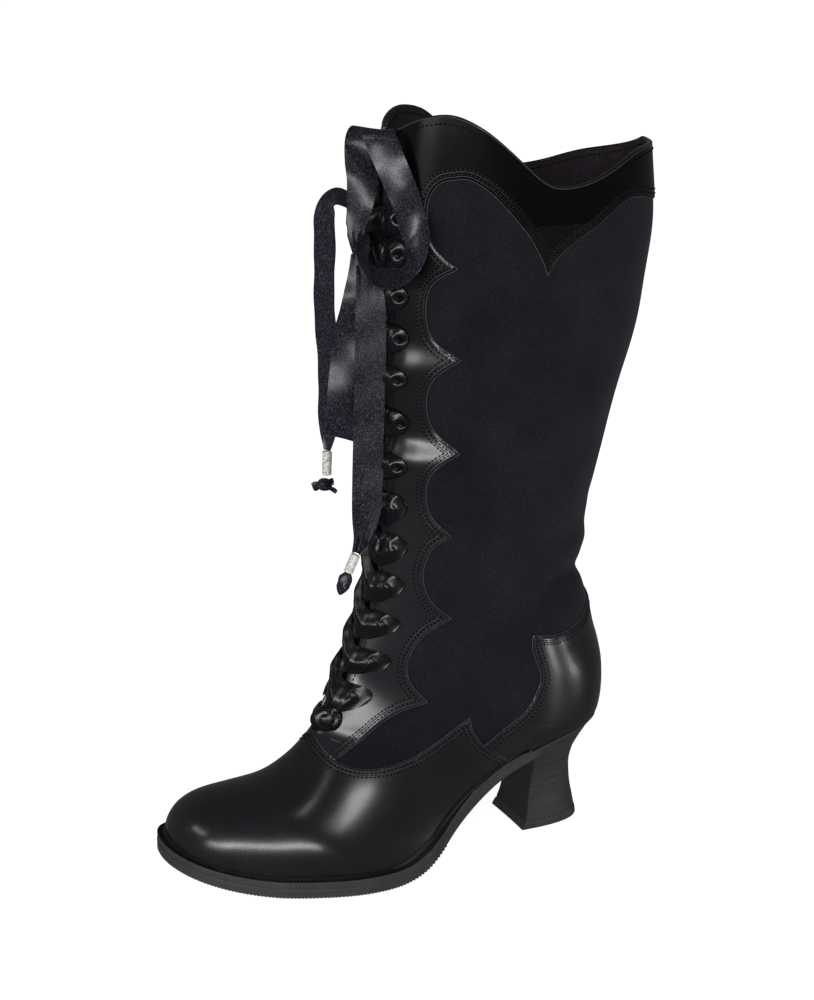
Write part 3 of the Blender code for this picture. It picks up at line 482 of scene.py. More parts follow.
def tube(points, radius, sides=6, closed=False):
    """Rings round a polyline; returns vertices and faces."""
    p = np.asarray(points, float)
    n = len(p)
    tan = unit(np.gradient(p, axis=0)) if not closed else unit(np.roll(p, -1, 0) - np.roll(p, 1, 0))
    ref = np.array([0.0, 0.0, 1.0]) if abs(tan[0, 2]) < 0.8 else np.array([1.0, 0.0, 0.0])
    u = np.empty_like(p)
    u[0] = ref - tan[0] * (ref @ tan[0])
    for i in range(1, n):
        u[i] = u[i - 1] - tan[i] * (u[i - 1] @ tan[i])
        u[i] /= np.linalg.norm(u[i]) + 1e-12
    u[0] /= np.linalg.norm(u[0])
    v = np.cross(tan, u)
    th = 2 * math.pi * np.arange(sides) / sides
    r = np.broadcast_to(np.asarray(radius, float), (n,))
    ring = p[:, None] + r[:, None, None] * (np.cos(th)[None, :, None] * u[:, None] + np.sin(th)[None, :, None] * v[:, None])
    return ring.reshape(-1, 3), quads(n, sides, wrap=True)


def joined(parts):
    """Vertices and faces of several bodies put together."""
    verts, faces, base = [], [], 0
    for v, f in parts:
        verts.append(np.asarray(v, float).reshape(-1, 3))
        for g in (f if isinstance(f, list) else [f]):
            faces.append(np.asarray(g, int) + base)
        base += len(verts[-1])
    out = {}
    for f in faces:
        out.setdefault(f.shape[1], []).append(f)
    return np.concatenate(verts), [np.concatenate(v) for v in out.values()]


# ------------------------------------------------------------------ materials
class Look:
    """A procedural material and its nodes."""

    def __init__(self, name, color=(0.01, 0.01, 0.01), rough=0.5, **sockets):
        self.m = bpy.data.materials.new(name)
        self.m.use_nodes = True
        self.t = self.m.node_tree
        self.b = self.t.nodes["Principled BSDF"]
        self.b.inputs["Base Color"].default_value = (*color, 1.0)
        self.b.inputs["Roughness"].default_value = rough
        for k, v in sockets.items():
            self.b.inputs[k.replace("_", " ")].default_value = v
        self.coord = self.t.nodes.new("ShaderNodeTexCoord")
        self.last = None

    def link(self, a, b):
        self.t.links.new(a, b)

    def mapped(self, scale=(1, 1, 1), space="Object"):
        n = self.t.nodes.new("ShaderNodeMapping")
        n.inputs["Scale"].default_value = scale
        self.link(self.coord.outputs[space], n.inputs["Vector"])
        return n.outputs["Vector"]

    def noise(self, scale, detail=3.0, rough=0.55, vector=None):
        n = self.t.nodes.new("ShaderNodeTexNoise")
        n.inputs["Scale"].default_value = scale
        n.inputs["Detail"].default_value = detail
        n.inputs["Roughness"].default_value = rough
        self.link(self.coord.outputs["Object"] if vector is None else vector, n.inputs["Vector"])
        return n.outputs["Fac"]

    def ramp(self, fac, stops):
        n = self.t.nodes.new("ShaderNodeValToRGB")
        e = n.color_ramp.elements
        while len(e) < len(stops):
            e.new(0.5)
        for k, (at, c) in enumerate(stops):
            e[k].position = at
            e[k].color = (*c, 1.0) if len(c) == 3 else c
        self.link(fac, n.inputs["Fac"])
        return n.outputs["Color"]

    def span(self, fac, low, high, a=0.3, b=0.7):
        n = self.t.nodes.new("ShaderNodeMapRange")
        n.inputs["From Min"].default_value = a
        n.inputs["From Max"].default_value = b
        n.inputs["To Min"].default_value = low
        n.inputs["To Max"].default_value = high
        self.link(fac, n.inputs["Value"])
        return n.outputs["Result"]

    def mix(self, fac, a, b, how="MIX"):
        n = self.t.nodes.new("ShaderNodeMix")
        n.data_type = 'RGBA'
        n.blend_type = how
        for sock, val in ((n.inputs[0], fac), (n.inputs[6], a), (n.inputs[7], b)):
            if isinstance(val, bpy.types.NodeSocket):
                self.link(val, sock)
            else:
                sock.default_value = val if not isinstance(val, tuple) or len(val) == 4 else (*val, 1.0)
        return n.outputs[2]

    def math(self, how, a, b):
        n = self.t.nodes.new("ShaderNodeMath")
        n.operation = how
        for sock, val in ((n.inputs[0], a), (n.inputs[1], b)):
            if isinstance(val, bpy.types.NodeSocket):
                self.link(val, sock)
            else:
                sock.default_value = val
        return n.outputs[0]

    def bump(self, height, strength, distance):
        n = self.t.nodes.new("ShaderNodeBump")
        n.inputs["Strength"].default_value = strength
        n.inputs["Distance"].default_value = distance
        self.link(height, n.inputs["Height"])
        if self.last is not None:
            self.link(self.last, n.inputs["Normal"])
        self.last = n.outputs["Normal"]
        self.link(self.last, self.b.inputs["Normal"])
        return self

    def color(self, socket):
        self.link(socket, self.b.inputs["Base Color"])
        return self

    def rough(self, socket):
        self.link(socket, self.b.inputs["Roughness"])
        return self


def suede_look():
    k = Look("suede", (0.011, 0.011, 0.014), 0.96)
    k.b.inputs["Specular IOR Level"].default_value = 0.18
    k.b.inputs["Sheen Weight"].default_value = 0.06
    k.b.inputs["Sheen Roughness"].default_value = 0.45
    k.b.inputs["Sheen Tint"].default_value = (0.62, 0.66, 0.80, 1.0)
    cloud = k.noise(22.0, 4.0, 0.6)
    nap = k.noise(900.0, 3.0, 0.7)
    tone = k.ramp(cloud, [(0.30, (0.0043, 0.0045, 0.0066)), (0.72, (0.0094, 0.0098, 0.0132))])
    fleck = k.ramp(nap, [(0.28, (0.60, 0.60, 0.60)), (0.56, (1.05, 1.05, 1.06)), (0.76, (2.1, 2.1, 2.2))])
    k.color(k.mix(1.0, tone, fleck, "MULTIPLY"))
    k.bump(nap, 0.35, 0.0004)
    k.bump(cloud, 0.10, 0.002)
    return k.m


def leather_look(name, tone, low, high, grain, coat, clear=0.12, upper=None, gloss=0.5):
    k = Look(name, tone, 0.3)
    k.b.inputs["Specular IOR Level"].default_value = gloss
    k.b.inputs["Coat Weight"].default_value = coat
    k.b.inputs["Coat Roughness"].default_value = clear
    k.b.inputs["Coat IOR"].default_value = 1.45
    broad = k.noise(28.0, 3.0, 0.55)
    fine = k.noise(1500.0, 3.0, 0.6)
    shade = k.ramp(broad, [(0.3, tuple(0.85 * c for c in tone)), (0.75, tuple(1.2 * c for c in tone))])
    # given an upper colour, the tone fades into it from 150 to 320 mm up: painted shade on the top of the panel,
    # painted light on the lighter part below
    if upper is not None:
        n = k.t.nodes.new("ShaderNodeSeparateXYZ")
        k.link(k.coord.outputs["Object"], n.inputs["Vector"])
        shade = k.mix(k.span(n.outputs["Z"], 0.0, 1.0, 0.15, 0.32), shade, upper)
    k.color(shade)
    pores = k.noise(620.0, 2.0, 0.5)
    k.rough(k.math("ADD", k.span(broad, low, high), k.span(fine, -0.03, 0.03)))
    k.bump(pores, grain, 0.0003)
    k.bump(fine, grain * 0.6, 0.0002)
    k.bump(broad, 0.03, 0.002)
    return k.m


# Satin: random tone with bright specks that are painted glints of its sheen.
def painted_glint_satin_look(name, stops, sheen, low, high, nub):
    k = Look(name, (0.006, 0.005, 0.008), 0.36)
    k.b.inputs["Specular IOR Level"].default_value = 0.5
    k.b.inputs["Sheen Weight"].default_value = sheen
    k.b.inputs["Sheen Roughness"].default_value = 0.35
    k.b.inputs["Sheen Tint"].default_value = (0.72, 0.62, 0.86, 1.0)
    k.b.inputs["Anisotropic"].default_value = 0.45
    k.b.inputs["Anisotropic Rotation"].default_value = 0.25
    speck = k.noise(2000.0, 1.0, 0.6)
    slub = k.noise(1.0, 3.0, 0.6, k.mapped((1300.0, 1300.0, 520.0)))
    # the top stop of the speck ramp is a painted glint colour
    k.color(k.ramp(speck, stops))
    k.rough(k.span(slub, low, high))
    k.bump(speck, nub, 0.00025)
    k.bump(slub, 0.07, 0.0003)
    return k.m


def thread_look():
    k = Look("thread", (0.0015, 0.0015, 0.0018), 0.7)
    k.b.inputs["Specular IOR Level"].default_value = 0.15
    twist = k.noise(2600.0, 2.0, 0.6)
    k.color(k.ramp(twist, [(0.3, (0.0008, 0.0008, 0.0010)), (0.75, (0.0022, 0.0022, 0.0026))]))
    k.bump(twist, 0.3, 0.0002)
    return k.m


# lighter grey for the leather puckered up between stitches: painted highlights on the puckers
def pucker_glint_look():
    k = Look("seam_pucker_glint", (0.020, 0.020, 0.023), 0.42)
    k.b.inputs["Specular IOR Level"].default_value = 0.5
    fine = k.noise(700.0, 2.0, 0.6)
    k.color(k.ramp(fine, [(0.3, (0.010, 0.010, 0.012)), (0.72, (0.034, 0.034, 0.040))]))
    k.rough(k.span(fine, 0.34, 0.50))
    return k.m


def edge_look():
    k = Look("cut_edge", (0.07, 0.07, 0.075), 0.6)
    fuzz = k.noise(1400.0, 3.0, 0.6)
    k.color(k.ramp(fuzz, [(0.3, (0.020, 0.020, 0.022)), (0.75, (0.060, 0.060, 0.064))]))
    k.bump(fuzz, 0.4, 0.0002)
    return k.m


def rubber_look():
    k = Look("sole_rubber", (0.024, 0.025, 0.026), 0.55)
    k.b.inputs["Specular IOR Level"].default_value = 0.4
    broad = k.noise(60.0, 4.0, 0.6)
    fine = k.noise(1100.0, 3.0, 0.65)
    k.color(k.mix(1.0, k.ramp(broad, [(0.3, (0.0235, 0.0235, 0.0252)), (0.75, (0.0385, 0.0385, 0.0410))]),
                  k.ramp(fine, [(0.25, (0.8, 0.8, 0.8)), (0.8, (1.2, 1.2, 1.2))]), "MULTIPLY"))
    k.rough(k.span(broad, 0.48, 0.62))
    k.bump(fine, 0.25, 0.0003)
    return k.m


def welt_look():
    k = Look("welt", (0.006, 0.0058, 0.0066), 0.5)
    k.b.inputs["Specular IOR Level"].default_value = 0.4
    fine = k.noise(1200.0, 3.0, 0.6)
    k.color(k.ramp(fine, [(0.3, (0.0028, 0.0027, 0.0032)), (0.75, (0.0064, 0.0062, 0.0072))]))
    k.rough(k.span(fine, 0.42, 0.56))
    k.bump(fine, 0.15, 0.0003)
    return k.m


# stacked leather; dim scales its layer tones, and the heel's front face uses a dimmed copy as painted shade
def stacked_look(name, dim=1.0):
    k = Look(name, (0.022, 0.022, 0.024), 0.46)
    k.b.inputs["Specular IOR Level"].default_value = 0.45
    k.b.inputs["Coat Weight"].default_value = 0.10
    k.b.inputs["Coat Roughness"].default_value = 0.3
    layers = k.noise(1.0, 4.0, 0.65, k.mapped((16.0, 16.0, 620.0)))
    fine = k.noise(1.0, 3.0, 0.6, k.mapped((120.0, 120.0, 1500.0)))
    bands = [(0.28, (0.0165, 0.0165, 0.0178)), (0.50, (0.0215, 0.0215, 0.0230)), (0.76, (0.0280, 0.0280, 0.0295))]
    k.color(k.mix(1.0, k.ramp(layers, [(at, tuple(dim * c for c in tone)) for at, tone in bands]),
                  k.ramp(fine, [(0.25, (0.84, 0.84, 0.84)), (0.8, (1.14, 1.14, 1.14))]), "MULTIPLY"))
    k.rough(k.span(layers, 0.42, 0.54))
    k.bump(layers, 0.12, 0.0005)
    k.bump(fine, 0.12, 0.0003)
    return k.m


def lining_look():
    k = Look("lining", (0.012, 0.009, 0.013), 0.85)
    k.b.inputs["Specular IOR Level"].default_value = 0.25
    weave = k.noise(1300.0, 3.0, 0.6)
    broad = k.noise(40.0, 3.0, 0.5)
    k.color(k.mix(1.0, k.ramp(broad, [(0.3, (0.012, 0.009, 0.0125)), (0.75, (0.021, 0.0155, 0.021))]),
                  k.ramp(weave, [(0.28, (0.45, 0.45, 0.50)), (0.52, (1.0, 1.0, 1.0)), (0.74, (2.6, 2.2, 2.4))]), "MULTIPLY"))
    k.bump(weave, 0.6, 0.0004)
    return k.m


def board_look():
    k = Look("insole_board", (0.020, 0.018, 0.021), 0.8)
    fibre = k.noise(500.0, 4.0, 0.65)
    k.color(k.ramp(fibre, [(0.3, (0.012, 0.011, 0.013)), (0.75, (0.030, 0.027, 0.031))]))
    k.bump(fibre, 0.3, 0.0004)
    return k.m


# near-black colour for the ribbon round the pit of an eyelet: painted shade inside the hole
def hole_shade_look():
    k = Look("eyelet_hole_shade", (0.0012, 0.0011, 0.0014), 0.8)
    k.b.inputs["Specular IOR Level"].default_value = 0.1
    k.color(k.ramp(k.noise(900.0, 2.0, 0.5), [(0.3, (0.0008, 0.0008, 0.0010)), (0.75, (0.0018, 0.0016, 0.0020))]))
    return k.m


def wire_look():
    k = Look("ferrule_wire", (0.62, 0.60, 0.54), 0.42, Metallic=0.25)
    stain = k.noise(1100.0, 2.0, 0.6)
    k.color(k.ramp(stain, [(0.34, (0.14, 0.135, 0.12)), (0.43, (0.72, 0.70, 0.64)), (0.68, (0.93, 0.92, 0.88))]))
    k.rough(k.span(stain, 0.34, 0.5))
    k.bump(stain, 0.2, 0.0001)
    return k.m


def floor_look():
    k = Look("floor", (0.80, 0.80, 0.80), 0.9)
    k.b.inputs["Specular IOR Level"].default_value = 0.1
    k.b.inputs["Emission Color"].default_value = (1.0, 1.0, 1.0, 1.0)
    speck = k.noise(3.0, 2.0, 0.5)
    k.color(k.ramp(speck, [(0.3, (0.49, 0.49, 0.49)), (0.7, (0.51, 0.51, 0.51))]))
    n = k.t.nodes.new("ShaderNodeVectorMath")
    n.operation = 'LENGTH'
    k.link(k.coord.outputs["Object"], n.inputs[0])
    k.link(k.span(n.outputs["Value"], 0.92, 1.0, 0.05, 0.9), k.b.inputs["Emission Strength"])
    return k.m


SUEDE = suede_look()
VAMP_LEATHER = leather_look("vamp_leather", (0.0070, 0.0066, 0.0088), 0.22, 0.27, 0.016, 0.30, 0.16)
# facing leather: lighter tone low down, near black at the top: painted light below, painted shade above
FACING_LEATHER = leather_look("facing_leather_shaded_top", (0.0098, 0.0101, 0.0124), 0.21, 0.26, 0.014, 0.20, 0.16, (0.0012, 0.0012, 0.0014))
# near-black leather for the collar band: painted shade on the band, also with no coat and less gloss
SHADED_BAND_LEATHER = leather_look("band_leather_painted_shade", (0.0014, 0.0014, 0.0016), 0.19, 0.23, 0.012, 0.0, 0.2, None, 0.21)
# seam ridge leather fades the same way: painted shade towards the top
SEAM_LEATHER = leather_look("seam_leather_shaded_top", (0.0086, 0.0086, 0.0105), 0.34, 0.42, 0.004, 0.0, 0.2, (0.0018, 0.0018, 0.0020))
TONGUE_LEATHER = leather_look("tongue_leather", (0.0060, 0.0060, 0.0066), 0.34, 0.44, 0.09, 0.05)
# bow satin, its brightest specks painted glints
SATIN = painted_glint_satin_look("satin", [(0.40, (0.0027, 0.0022, 0.0035)), (0.58, (0.0062, 0.0050, 0.0086)), (0.72, (0.120, 0.090, 0.160))],
                   0.08, 0.24, 0.33, 0.22)
# darker copy of the same satin for the lacing and the knot's lower lump: painted shade, with fainter painted glints
SHADED_LACE = painted_glint_satin_look("lace_satin_painted_shade", [(0.40, (0.0016, 0.0014, 0.0019)), (0.62, (0.0029, 0.0024, 0.0037)), (0.80, (0.024, 0.018, 0.032))],
                  0.03, 0.22, 0.29, 0.08)
# painted shade for the eyelet holes
HOLE_SHADE = hole_shade_look()
THREAD = thread_look()
# painted highlights between stitches
PUCKER_GLINT = pucker_glint_look()
EDGE = edge_look()
RUBBER = rubber_look()
WELT = welt_look()
STACKED = stacked_look("stacked_leather", 1.06)
# dimmed copy for the heel's front face: painted shade
SHADED_BREAST = stacked_look("heel_breast_painted_shade", 0.52)
LINING = lining_look()
BOARD = board_look()
WIRE = wire_look()
FLOOR = floor_look()


# ------------------------------------------------------------------ camera
def set_camera():
    data = bpy.data.cameras.new("camera")
    ob = bpy.data.objects.new("camera", data)
    bpy.context.scene.collection.objects.link(ob)
    place, target = Vector((0.97185, -0.4159, 0.4903)), Vector((-0.00485, -0.0013, 0.200))
    ob.location = place
    ob.rotation_euler = (target - place).to_track_quat('-Z', 'Y').to_euler()
    data.lens = 76.28
    data.sensor_width = 36.0
    data.shift_y = -0.019
    data.clip_start, data.clip_end = 0.05, 100.0
    bpy.context.scene.camera = ob


set_camera()


# ------------------------------------------------------------------ bow: ribbons, knot, ends
def through(rows, count):
    """Smooth path through table rows, evenly sampled by length."""
    rows = np.asarray(rows, float)
    step = np.linalg.norm(np.diff(rows[:, :3], axis=0), axis=1)
    at = np.concatenate([[0.0], np.cumsum(step)])
    pad = np.vstack([2 * rows[0] - rows[1], rows, 2 * rows[-1] - rows[-2]])
    out = []
    for q in np.linspace(0.0, at[-1], count):
        i = min(int(np.searchsorted(at, q, side="right")) - 1, len(rows) - 2)
        t = (q - at[i]) / (at[i + 1] - at[i])
        a, b, c, d = pad[i], pad[i + 1], pad[i + 2], pad[i + 3]
        out.append(0.5 * (2 * b + (c - a) * t + (2 * a - 5 * b + 4 * c - d) * t * t
                          + (3 * b - a - 3 * c + d) * t ** 3))
    return np.array(out)


def ribbon(name, rows, count, waves=(), curl=0.04, pleat=2.2, folds=1.25, cols=13, fold_line=None, square=True):
    """Satin ribbon on its table's rows: gathered into pleats where its width closes."""
    path = through(rows, count)
    mid, across, share = path[:, :3], path[:, 3:6], np.clip(path[:, 6], 0.1, 1.3)
    tan = unit(np.gradient(mid, axis=0))
    lean = 1.0 if square else 0.25
    across = unit(across - lean * np.sum(across * tan, axis=1)[:, None] * tan)
    for _ in range(6):
        across[1:-1] = unit(across[1:-1] * 2 + across[:-2] + across[2:])
    across = unit(across - lean * np.sum(across * tan, axis=1)[:, None] * tan)
    out = unit(np.cross(tan, across))
    step = np.linalg.norm(np.diff(mid, axis=0), axis=1)
    along = np.concatenate([[0.0], np.cumsum(step)])
    length = along[-1]
    v = np.linspace(-1.0, 1.0, cols)
    half = 0.5 * RIBBON_W * share
    gather = np.clip((0.97 - share) / 0.6, 0.0, 1.0)
    lift = np.zeros((count, cols))
    for size, wave, skew, phase in waves:
        ends = np.clip(np.minimum(along, length - along) / 22.0, 0.0, 1.0)
        lift += (size * ends)[:, None] * np.sin(2 * math.pi * (along[:, None] + skew * v[None]) / wave + phase)
    lift += curl * half[:, None] * (v[None] ** 2 - 0.33)
    lift += (pleat * gather)[:, None] * np.cos(2 * math.pi * folds * v[None] + 0.6 * np.sin(along[:, None] / 9.0))
    if fold_line is not None:
        near = np.clip((fold_line[0] - (length - along)) / fold_line[0], 0.0, 1.0)
        lift += (fold_line[1] * near ** 1.5)[:, None] * (np.abs(v[None]) - 0.5)
    grid = mid[:, None] + across[:, None] * (half[:, None] * v[None])[..., None] + out[:, None] * lift[..., None]
    nor = unit(np.cross(np.gradient(grid, axis=0), np.gradient(grid, axis=1)))
    tex = np.stack(np.broadcast_arrays(along[:, None] / 20.0, half[:, None] * v[None] / 20.0), -1)
    ob = plate(name, grid, nor, 0.45, SATIN, uv=tex, sharp=60.0)
    return ob, row(grid.mean(axis=1)), length


def lump(place, sizes, folds, seed=0, tear=0.0, rings=26, around=40, axis=None):
    """Tied lump: ellipsoid with wrapped folds pressed into it; tear draws it to a point below."""
    gen = np.random.default_rng(seed)
    lat = np.linspace(0.0, math.pi, rings)
    lon = 2 * math.pi * np.arange(around) / around
    LA, LO = np.meshgrid(lat, lon, indexing="ij")
    r = np.ones_like(LA)
    for size, n, tilt, phase in folds:
        w = np.sin(n * LO + tilt * LA + phase)
        r += size * (1.0 - 1.6 * np.abs(w) ** 0.7) * np.sin(LA) ** 0.6
    for _ in range(5):
        n, m, p, q = gen.integers(1, 5), gen.integers(1, 4), gen.uniform(0, 6.28), gen.uniform(0, 6.28)
        r += 0.035 * np.sin(n * LO + p) * np.sin(m * LA + q) * np.sin(LA)
    shape = 1.0 - tear * np.clip((LA / math.pi - 0.45) / 0.55, 0.0, 1.0) ** 1.5
    f = np.array([BOW_FACE[0], BOW_FACE[1], 0.0])
    d = np.array([-BOW_FACE[1], BOW_FACE[0], 0.0])
    z = np.array([0.0, 0.0, 1.0]) if axis is None else unit(np.asarray(axis, float))
    f = unit(f - z * (f @ z))
    d = np.cross(z, f)
    P = (np.asarray(place, float) + (sizes[0] * r * shape * np.sin(LA) * np.cos(LO))[..., None] * f
         + (sizes[1] * r * shape * np.sin(LA) * np.sin(LO))[..., None] * d + (sizes[2] * np.cos(LA) * (0.9 + 0.1 * r))[..., None] * z)
    return P.reshape(-1, 3), quads(rings, around, wrap=True)


def flap(root, tip, side, width, bend, thick=0.45, n=10, m=5, curl=0.3):
    """Short cut end of the ribbon."""
    root, tip, side = (np.asarray(q, float) for q in (root, tip, side))
    t = np.linspace(0.0, 1.0, n)
    d = unit(tip - root)
    side = unit(side - d * (side @ d))
    nor = np.cross(d, side)
    v = np.linspace(-1.0, 1.0, m)
    w = width * (0.45 + 0.55 * np.sin(np.clip(t * 1.25, 0, 1) * math.pi / 2)) * np.where(t > 0.82, 1.0 - 1.2 * (t - 0.82), 1.0)
    mid = root + (tip - root) * t[:, None] + nor * (bend * np.sin(math.pi * t))[:, None]
    g = mid[:, None] + side * (w[:, None] * v[None])[..., None] + nor * (curl * width * (v[None] ** 2) * (0.3 + t[:, None]))[..., None]
    nn = unit(np.cross(np.gradient(g, axis=0), np.gradient(g, axis=1)))
    up, down = (g + nn * thick / 2).reshape(-1, 3), (g - nn * thick / 2).reshape(-1, 3)
    c = n * m
    f = [quads(n, m, 0), quads(n, m, c, True)]
    e = np.arange(m - 1)
    f.append(np.stack([e, e + 1, c + e + 1, c + e], -1)[:, ::-1])
    b = (n - 1) * m
    f.append(np.stack([b + e, b + e + 1, c + b + e + 1, c + b + e], -1))
    e = np.arange(n - 1) * m
    f.append(np.stack([e, e + m, c + e + m, c + e], -1))
    e = e + m - 1
    f.append(np.stack([e, e + m, c + e + m, c + e], -1)[:, ::-1])
    return np.concatenate([up, down]), f


def ferrule(name, row_, node):
    """Metal tube wound with wire."""
    p0, p1 = np.array(row_[:3]), np.array(row_[3:])
    axis = unit(p1 - p0)
    u = unit(np.cross(axis, (0.0, 1.0, 0.0)))
    v = np.cross(axis, u)
    length = np.linalg.norm(p1 - p0)
    th = 2 * math.pi * np.arange(28) / 28
    rings = []
    for share, k in ((0.0, 0.55), (0.0, 0.84), (0.03, 0.90), (0.97, 0.90), (1.0, 0.84), (1.0, 0.55)):
        rings.append(p0 + axis * length * share + 0.5 * FERRULE_D * k * (np.cos(th)[:, None] * u + np.sin(th)[:, None] * v))
    core = (np.concatenate(rings), quads(len(rings), 28, wrap=True))
    turns = length / 0.86
    q = np.linspace(0.015, 0.985, int(turns * 22))
    ang = 2 * math.pi * turns * q
    radius = 0.5 * FERRULE_D * 0.93 + 0.05 * np.sin(ang * 0.37)
    helix = p0 + axis * (length * q)[:, None] + radius[:, None] * (np.cos(ang)[:, None] * u + np.sin(ang)[:, None] * v)
    wire = tube(helix, 0.40, 6)
    verts, faces = joined([core, wire])
    ob = mesh_piece(name, verts, faces, WIRE, sharp=50.0)
    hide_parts(node)
    return ob


knot_v, knot_f = joined([
    lump(KNOT_ROW[:3], (KNOT_ROW[3], KNOT_ROW[4], KNOT_ROW[5]),
         ((0.10, 1.0, 2.6, 0.4), (0.08, 2.0, 3.4, 1.1), (0.05, 3.0, -4.0, 0.2)), 3),
    lump((4.5, -84.0, 323.5), (3.6, 3.0, 8.0), ((0.10, 1.0, 2.0, 0.7), (0.06, 2.0, -3.0, 0.1)), 4)])
knot_n = sum(len(q) for q in knot_f)
# the knot's lower lump takes the darker lace satin: painted shade
KNOT = mesh_piece("knot", knot_v, knot_f, [SATIN, SHADED_LACE], index=(np.arange(knot_n) >= knot_n // 2).astype(int))
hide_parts("bow_knot")

FERRULE_LEFT = ferrule("wire_ferrule_left", FERRULE_LEFT_ROW, "ferrule_left")
FERRULE_FRONT = ferrule("wire_ferrule_front", FERRULE_FRONT_ROW, "ferrule_front")

face_dir = np.array([BOW_FACE[0], BOW_FACE[1], 0.0])
c = np.array(END_LEFT_ROW[:3])
v_, f_ = joined([
    lump(c + np.array([0.0, 0.0, 0.6]), (4.3, 3.6, 3.4), ((0.12, 1.0, 1.2, 0.3), (0.10, 2.0, -1.5, 2.0)), 5),
    flap(c + face_dir * -1.5 + np.array([0, 0, 0.5]), c + face_dir * -6.2 + np.array([0, 0, -1.4]), (0.2, 0.1, 1.0), 2.7, 0.8),
    flap(c + face_dir * 1.0 + np.array([0, 0, -0.8]), c + face_dir * 6.3 + np.array([0, 0, -3.4]), (0.5, 0.1, 1.0), 1.5, -0.7),
    flap(c + face_dir * 1.2 + np.array([0, 0, 2.0]), c + face_dir * 4.8 + np.array([0, 0, 2.6]), (0.2, 0.1, 1.0), 2.0, 0.5)])
END_LEFT = mesh_piece("frayed_end_left", v_, f_, SATIN, sharp=60.0)
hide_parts("end_knot_left")

c = np.array(END_FRONT_ROW[:3])
lean = np.array([0.6, 3.7, 9.2])
v_, f_ = joined([
    lump(c + 0.06 * lean, (3.7, 3.3, 6.7), ((0.10, 1.0, 2.2, 0.9), (0.09, 2.0, 1.4, 0.2), (0.05, 3.0, 3.0, 0.0)), 9, tear=0.55, axis=lean),
    flap(c + np.array([0.3, 1.2, 2.5]), c + np.array([-0.9, -2.4, -3.2]), (0.3, 0.9, 0.2), 1.6, 3.3)])
END_FRONT = mesh_piece("end_knot_front_tied", v_, f_, SATIN, sharp=60.0)
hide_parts("end_knot_front")


def declare(name, node, rows, count, far, pieces, **shape):
    ob, path, length = ribbon(name, rows, count, **shape)
    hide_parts(node)
    return ob


LOOP_A = declare("ribbon_loop_upper", "bow_loop_upper", LOOP_UPPER_ROWS, 150, "object", (KNOT,),
                 waves=((1.7, 44.0, 7.0, 0.0), (0.2, 27.0, -6.0, 1.0)), curl=0.0, pleat=0.2, square=False)
LOOP_B = declare("ribbon_loop_hanging", "bow_loop_hanging", LOOP_HANGING_ROWS, 150, "object", (),
                 waves=((1.4, 50.0, 8.0, -0.88), (0.25, 23.0, -5.0, 0.4)), curl=0.0, pleat=0.25)
TAIL_A = declare("ribbon_tail_left", "tail_left", TAIL_LEFT_ROWS, 120, "fitting", (FERRULE_LEFT, END_LEFT),
                 waves=((0.5, 58.0, 5.0, 0.3), (0.2, 21.0, -4.0, 0.9)), curl=0.03, pleat=0.7)
TAIL_B = declare("ribbon_tail_front", "tail_front", TAIL_FRONT_ROWS, 120, "fitting", (FERRULE_FRONT, END_FRONT),
                 waves=((0.35, 64.0, -7.0, 2.0), (0.12, 23.0, 5.0, 0.7)), curl=0.03, pleat=1.0, fold_line=(34.0, 3.0))


# ------------------------------------------------------------------ upper: smooth surface
def raw_point(sign, s, a):
    """Outer face at section s and angle a; a negative angle lies over the crest."""
    sign = np.where(a < 0, -sign, sign)
    a = np.abs(a)
    fy, fz = column("front_y", s), column("front_z", s)
    by, bz = column("base_y", s), column("base_z", s)
    w = column("widest", s)
    front = a < math.pi / 2
    p = np.where(front, w * (1.0 - np.cos(a)), w - (1.0 - w) * np.cos(a))
    power = np.where(front, column("crown", s), column("side", s))
    half = np.maximum(np.where(sign > 0, column("half_lat", s), column("half_med", s)) * toe_cap(s), 1e-9)
    x = column("centre", s) + sign * half * np.maximum(np.sin(np.minimum(a, math.pi)), 0.0) ** power
    deg = np.degrees(np.minimum(a, math.pi))
    rim = np.where(sign > 0, smooth(COLLAR[:, 0], COLLAR[:, 1], deg), smooth(COLLAR[:, 0], COLLAR[:, 2], deg))
    flat = UPPER_ROWS["collar"]
    wave = rim - (flat[1] + (flat[3] - flat[1]) * p)
    fade = np.clip(1.0 - s / COLLAR_RAMP, 0.0, 1.0)
    z = fz + (bz - fz) * p + wave * fade * fade * (3 - 2 * fade)
    return np.stack([x, fy + (by - fy) * p, z], -1)


def soft_point(sign, s, a):
    """Outer face with its curvature evened out over a few millimetres."""
    sign, s, a = np.broadcast_arrays(np.asarray(sign, float), np.asarray(s, float), np.asarray(a, float))
    ds = np.minimum(5.0, 0.45 * np.maximum(S_END - s, 0.0))
    ds = np.minimum(ds, 0.45 * np.maximum(s, 0.0))
    da = np.minimum(math.radians(5.5), 0.9 * np.maximum(math.pi - a, 0.0))
    total = np.zeros(s.shape + (3,))
    for ks, ws in ((-1.0, 0.25), (0.0, 0.5), (1.0, 0.25)):
        for ka, wa in ((-1.0, 0.25), (0.0, 0.5), (1.0, 0.25)):
            total += ws * wa * raw_point(sign, s + ks * ds, a + ka * da)
    return total


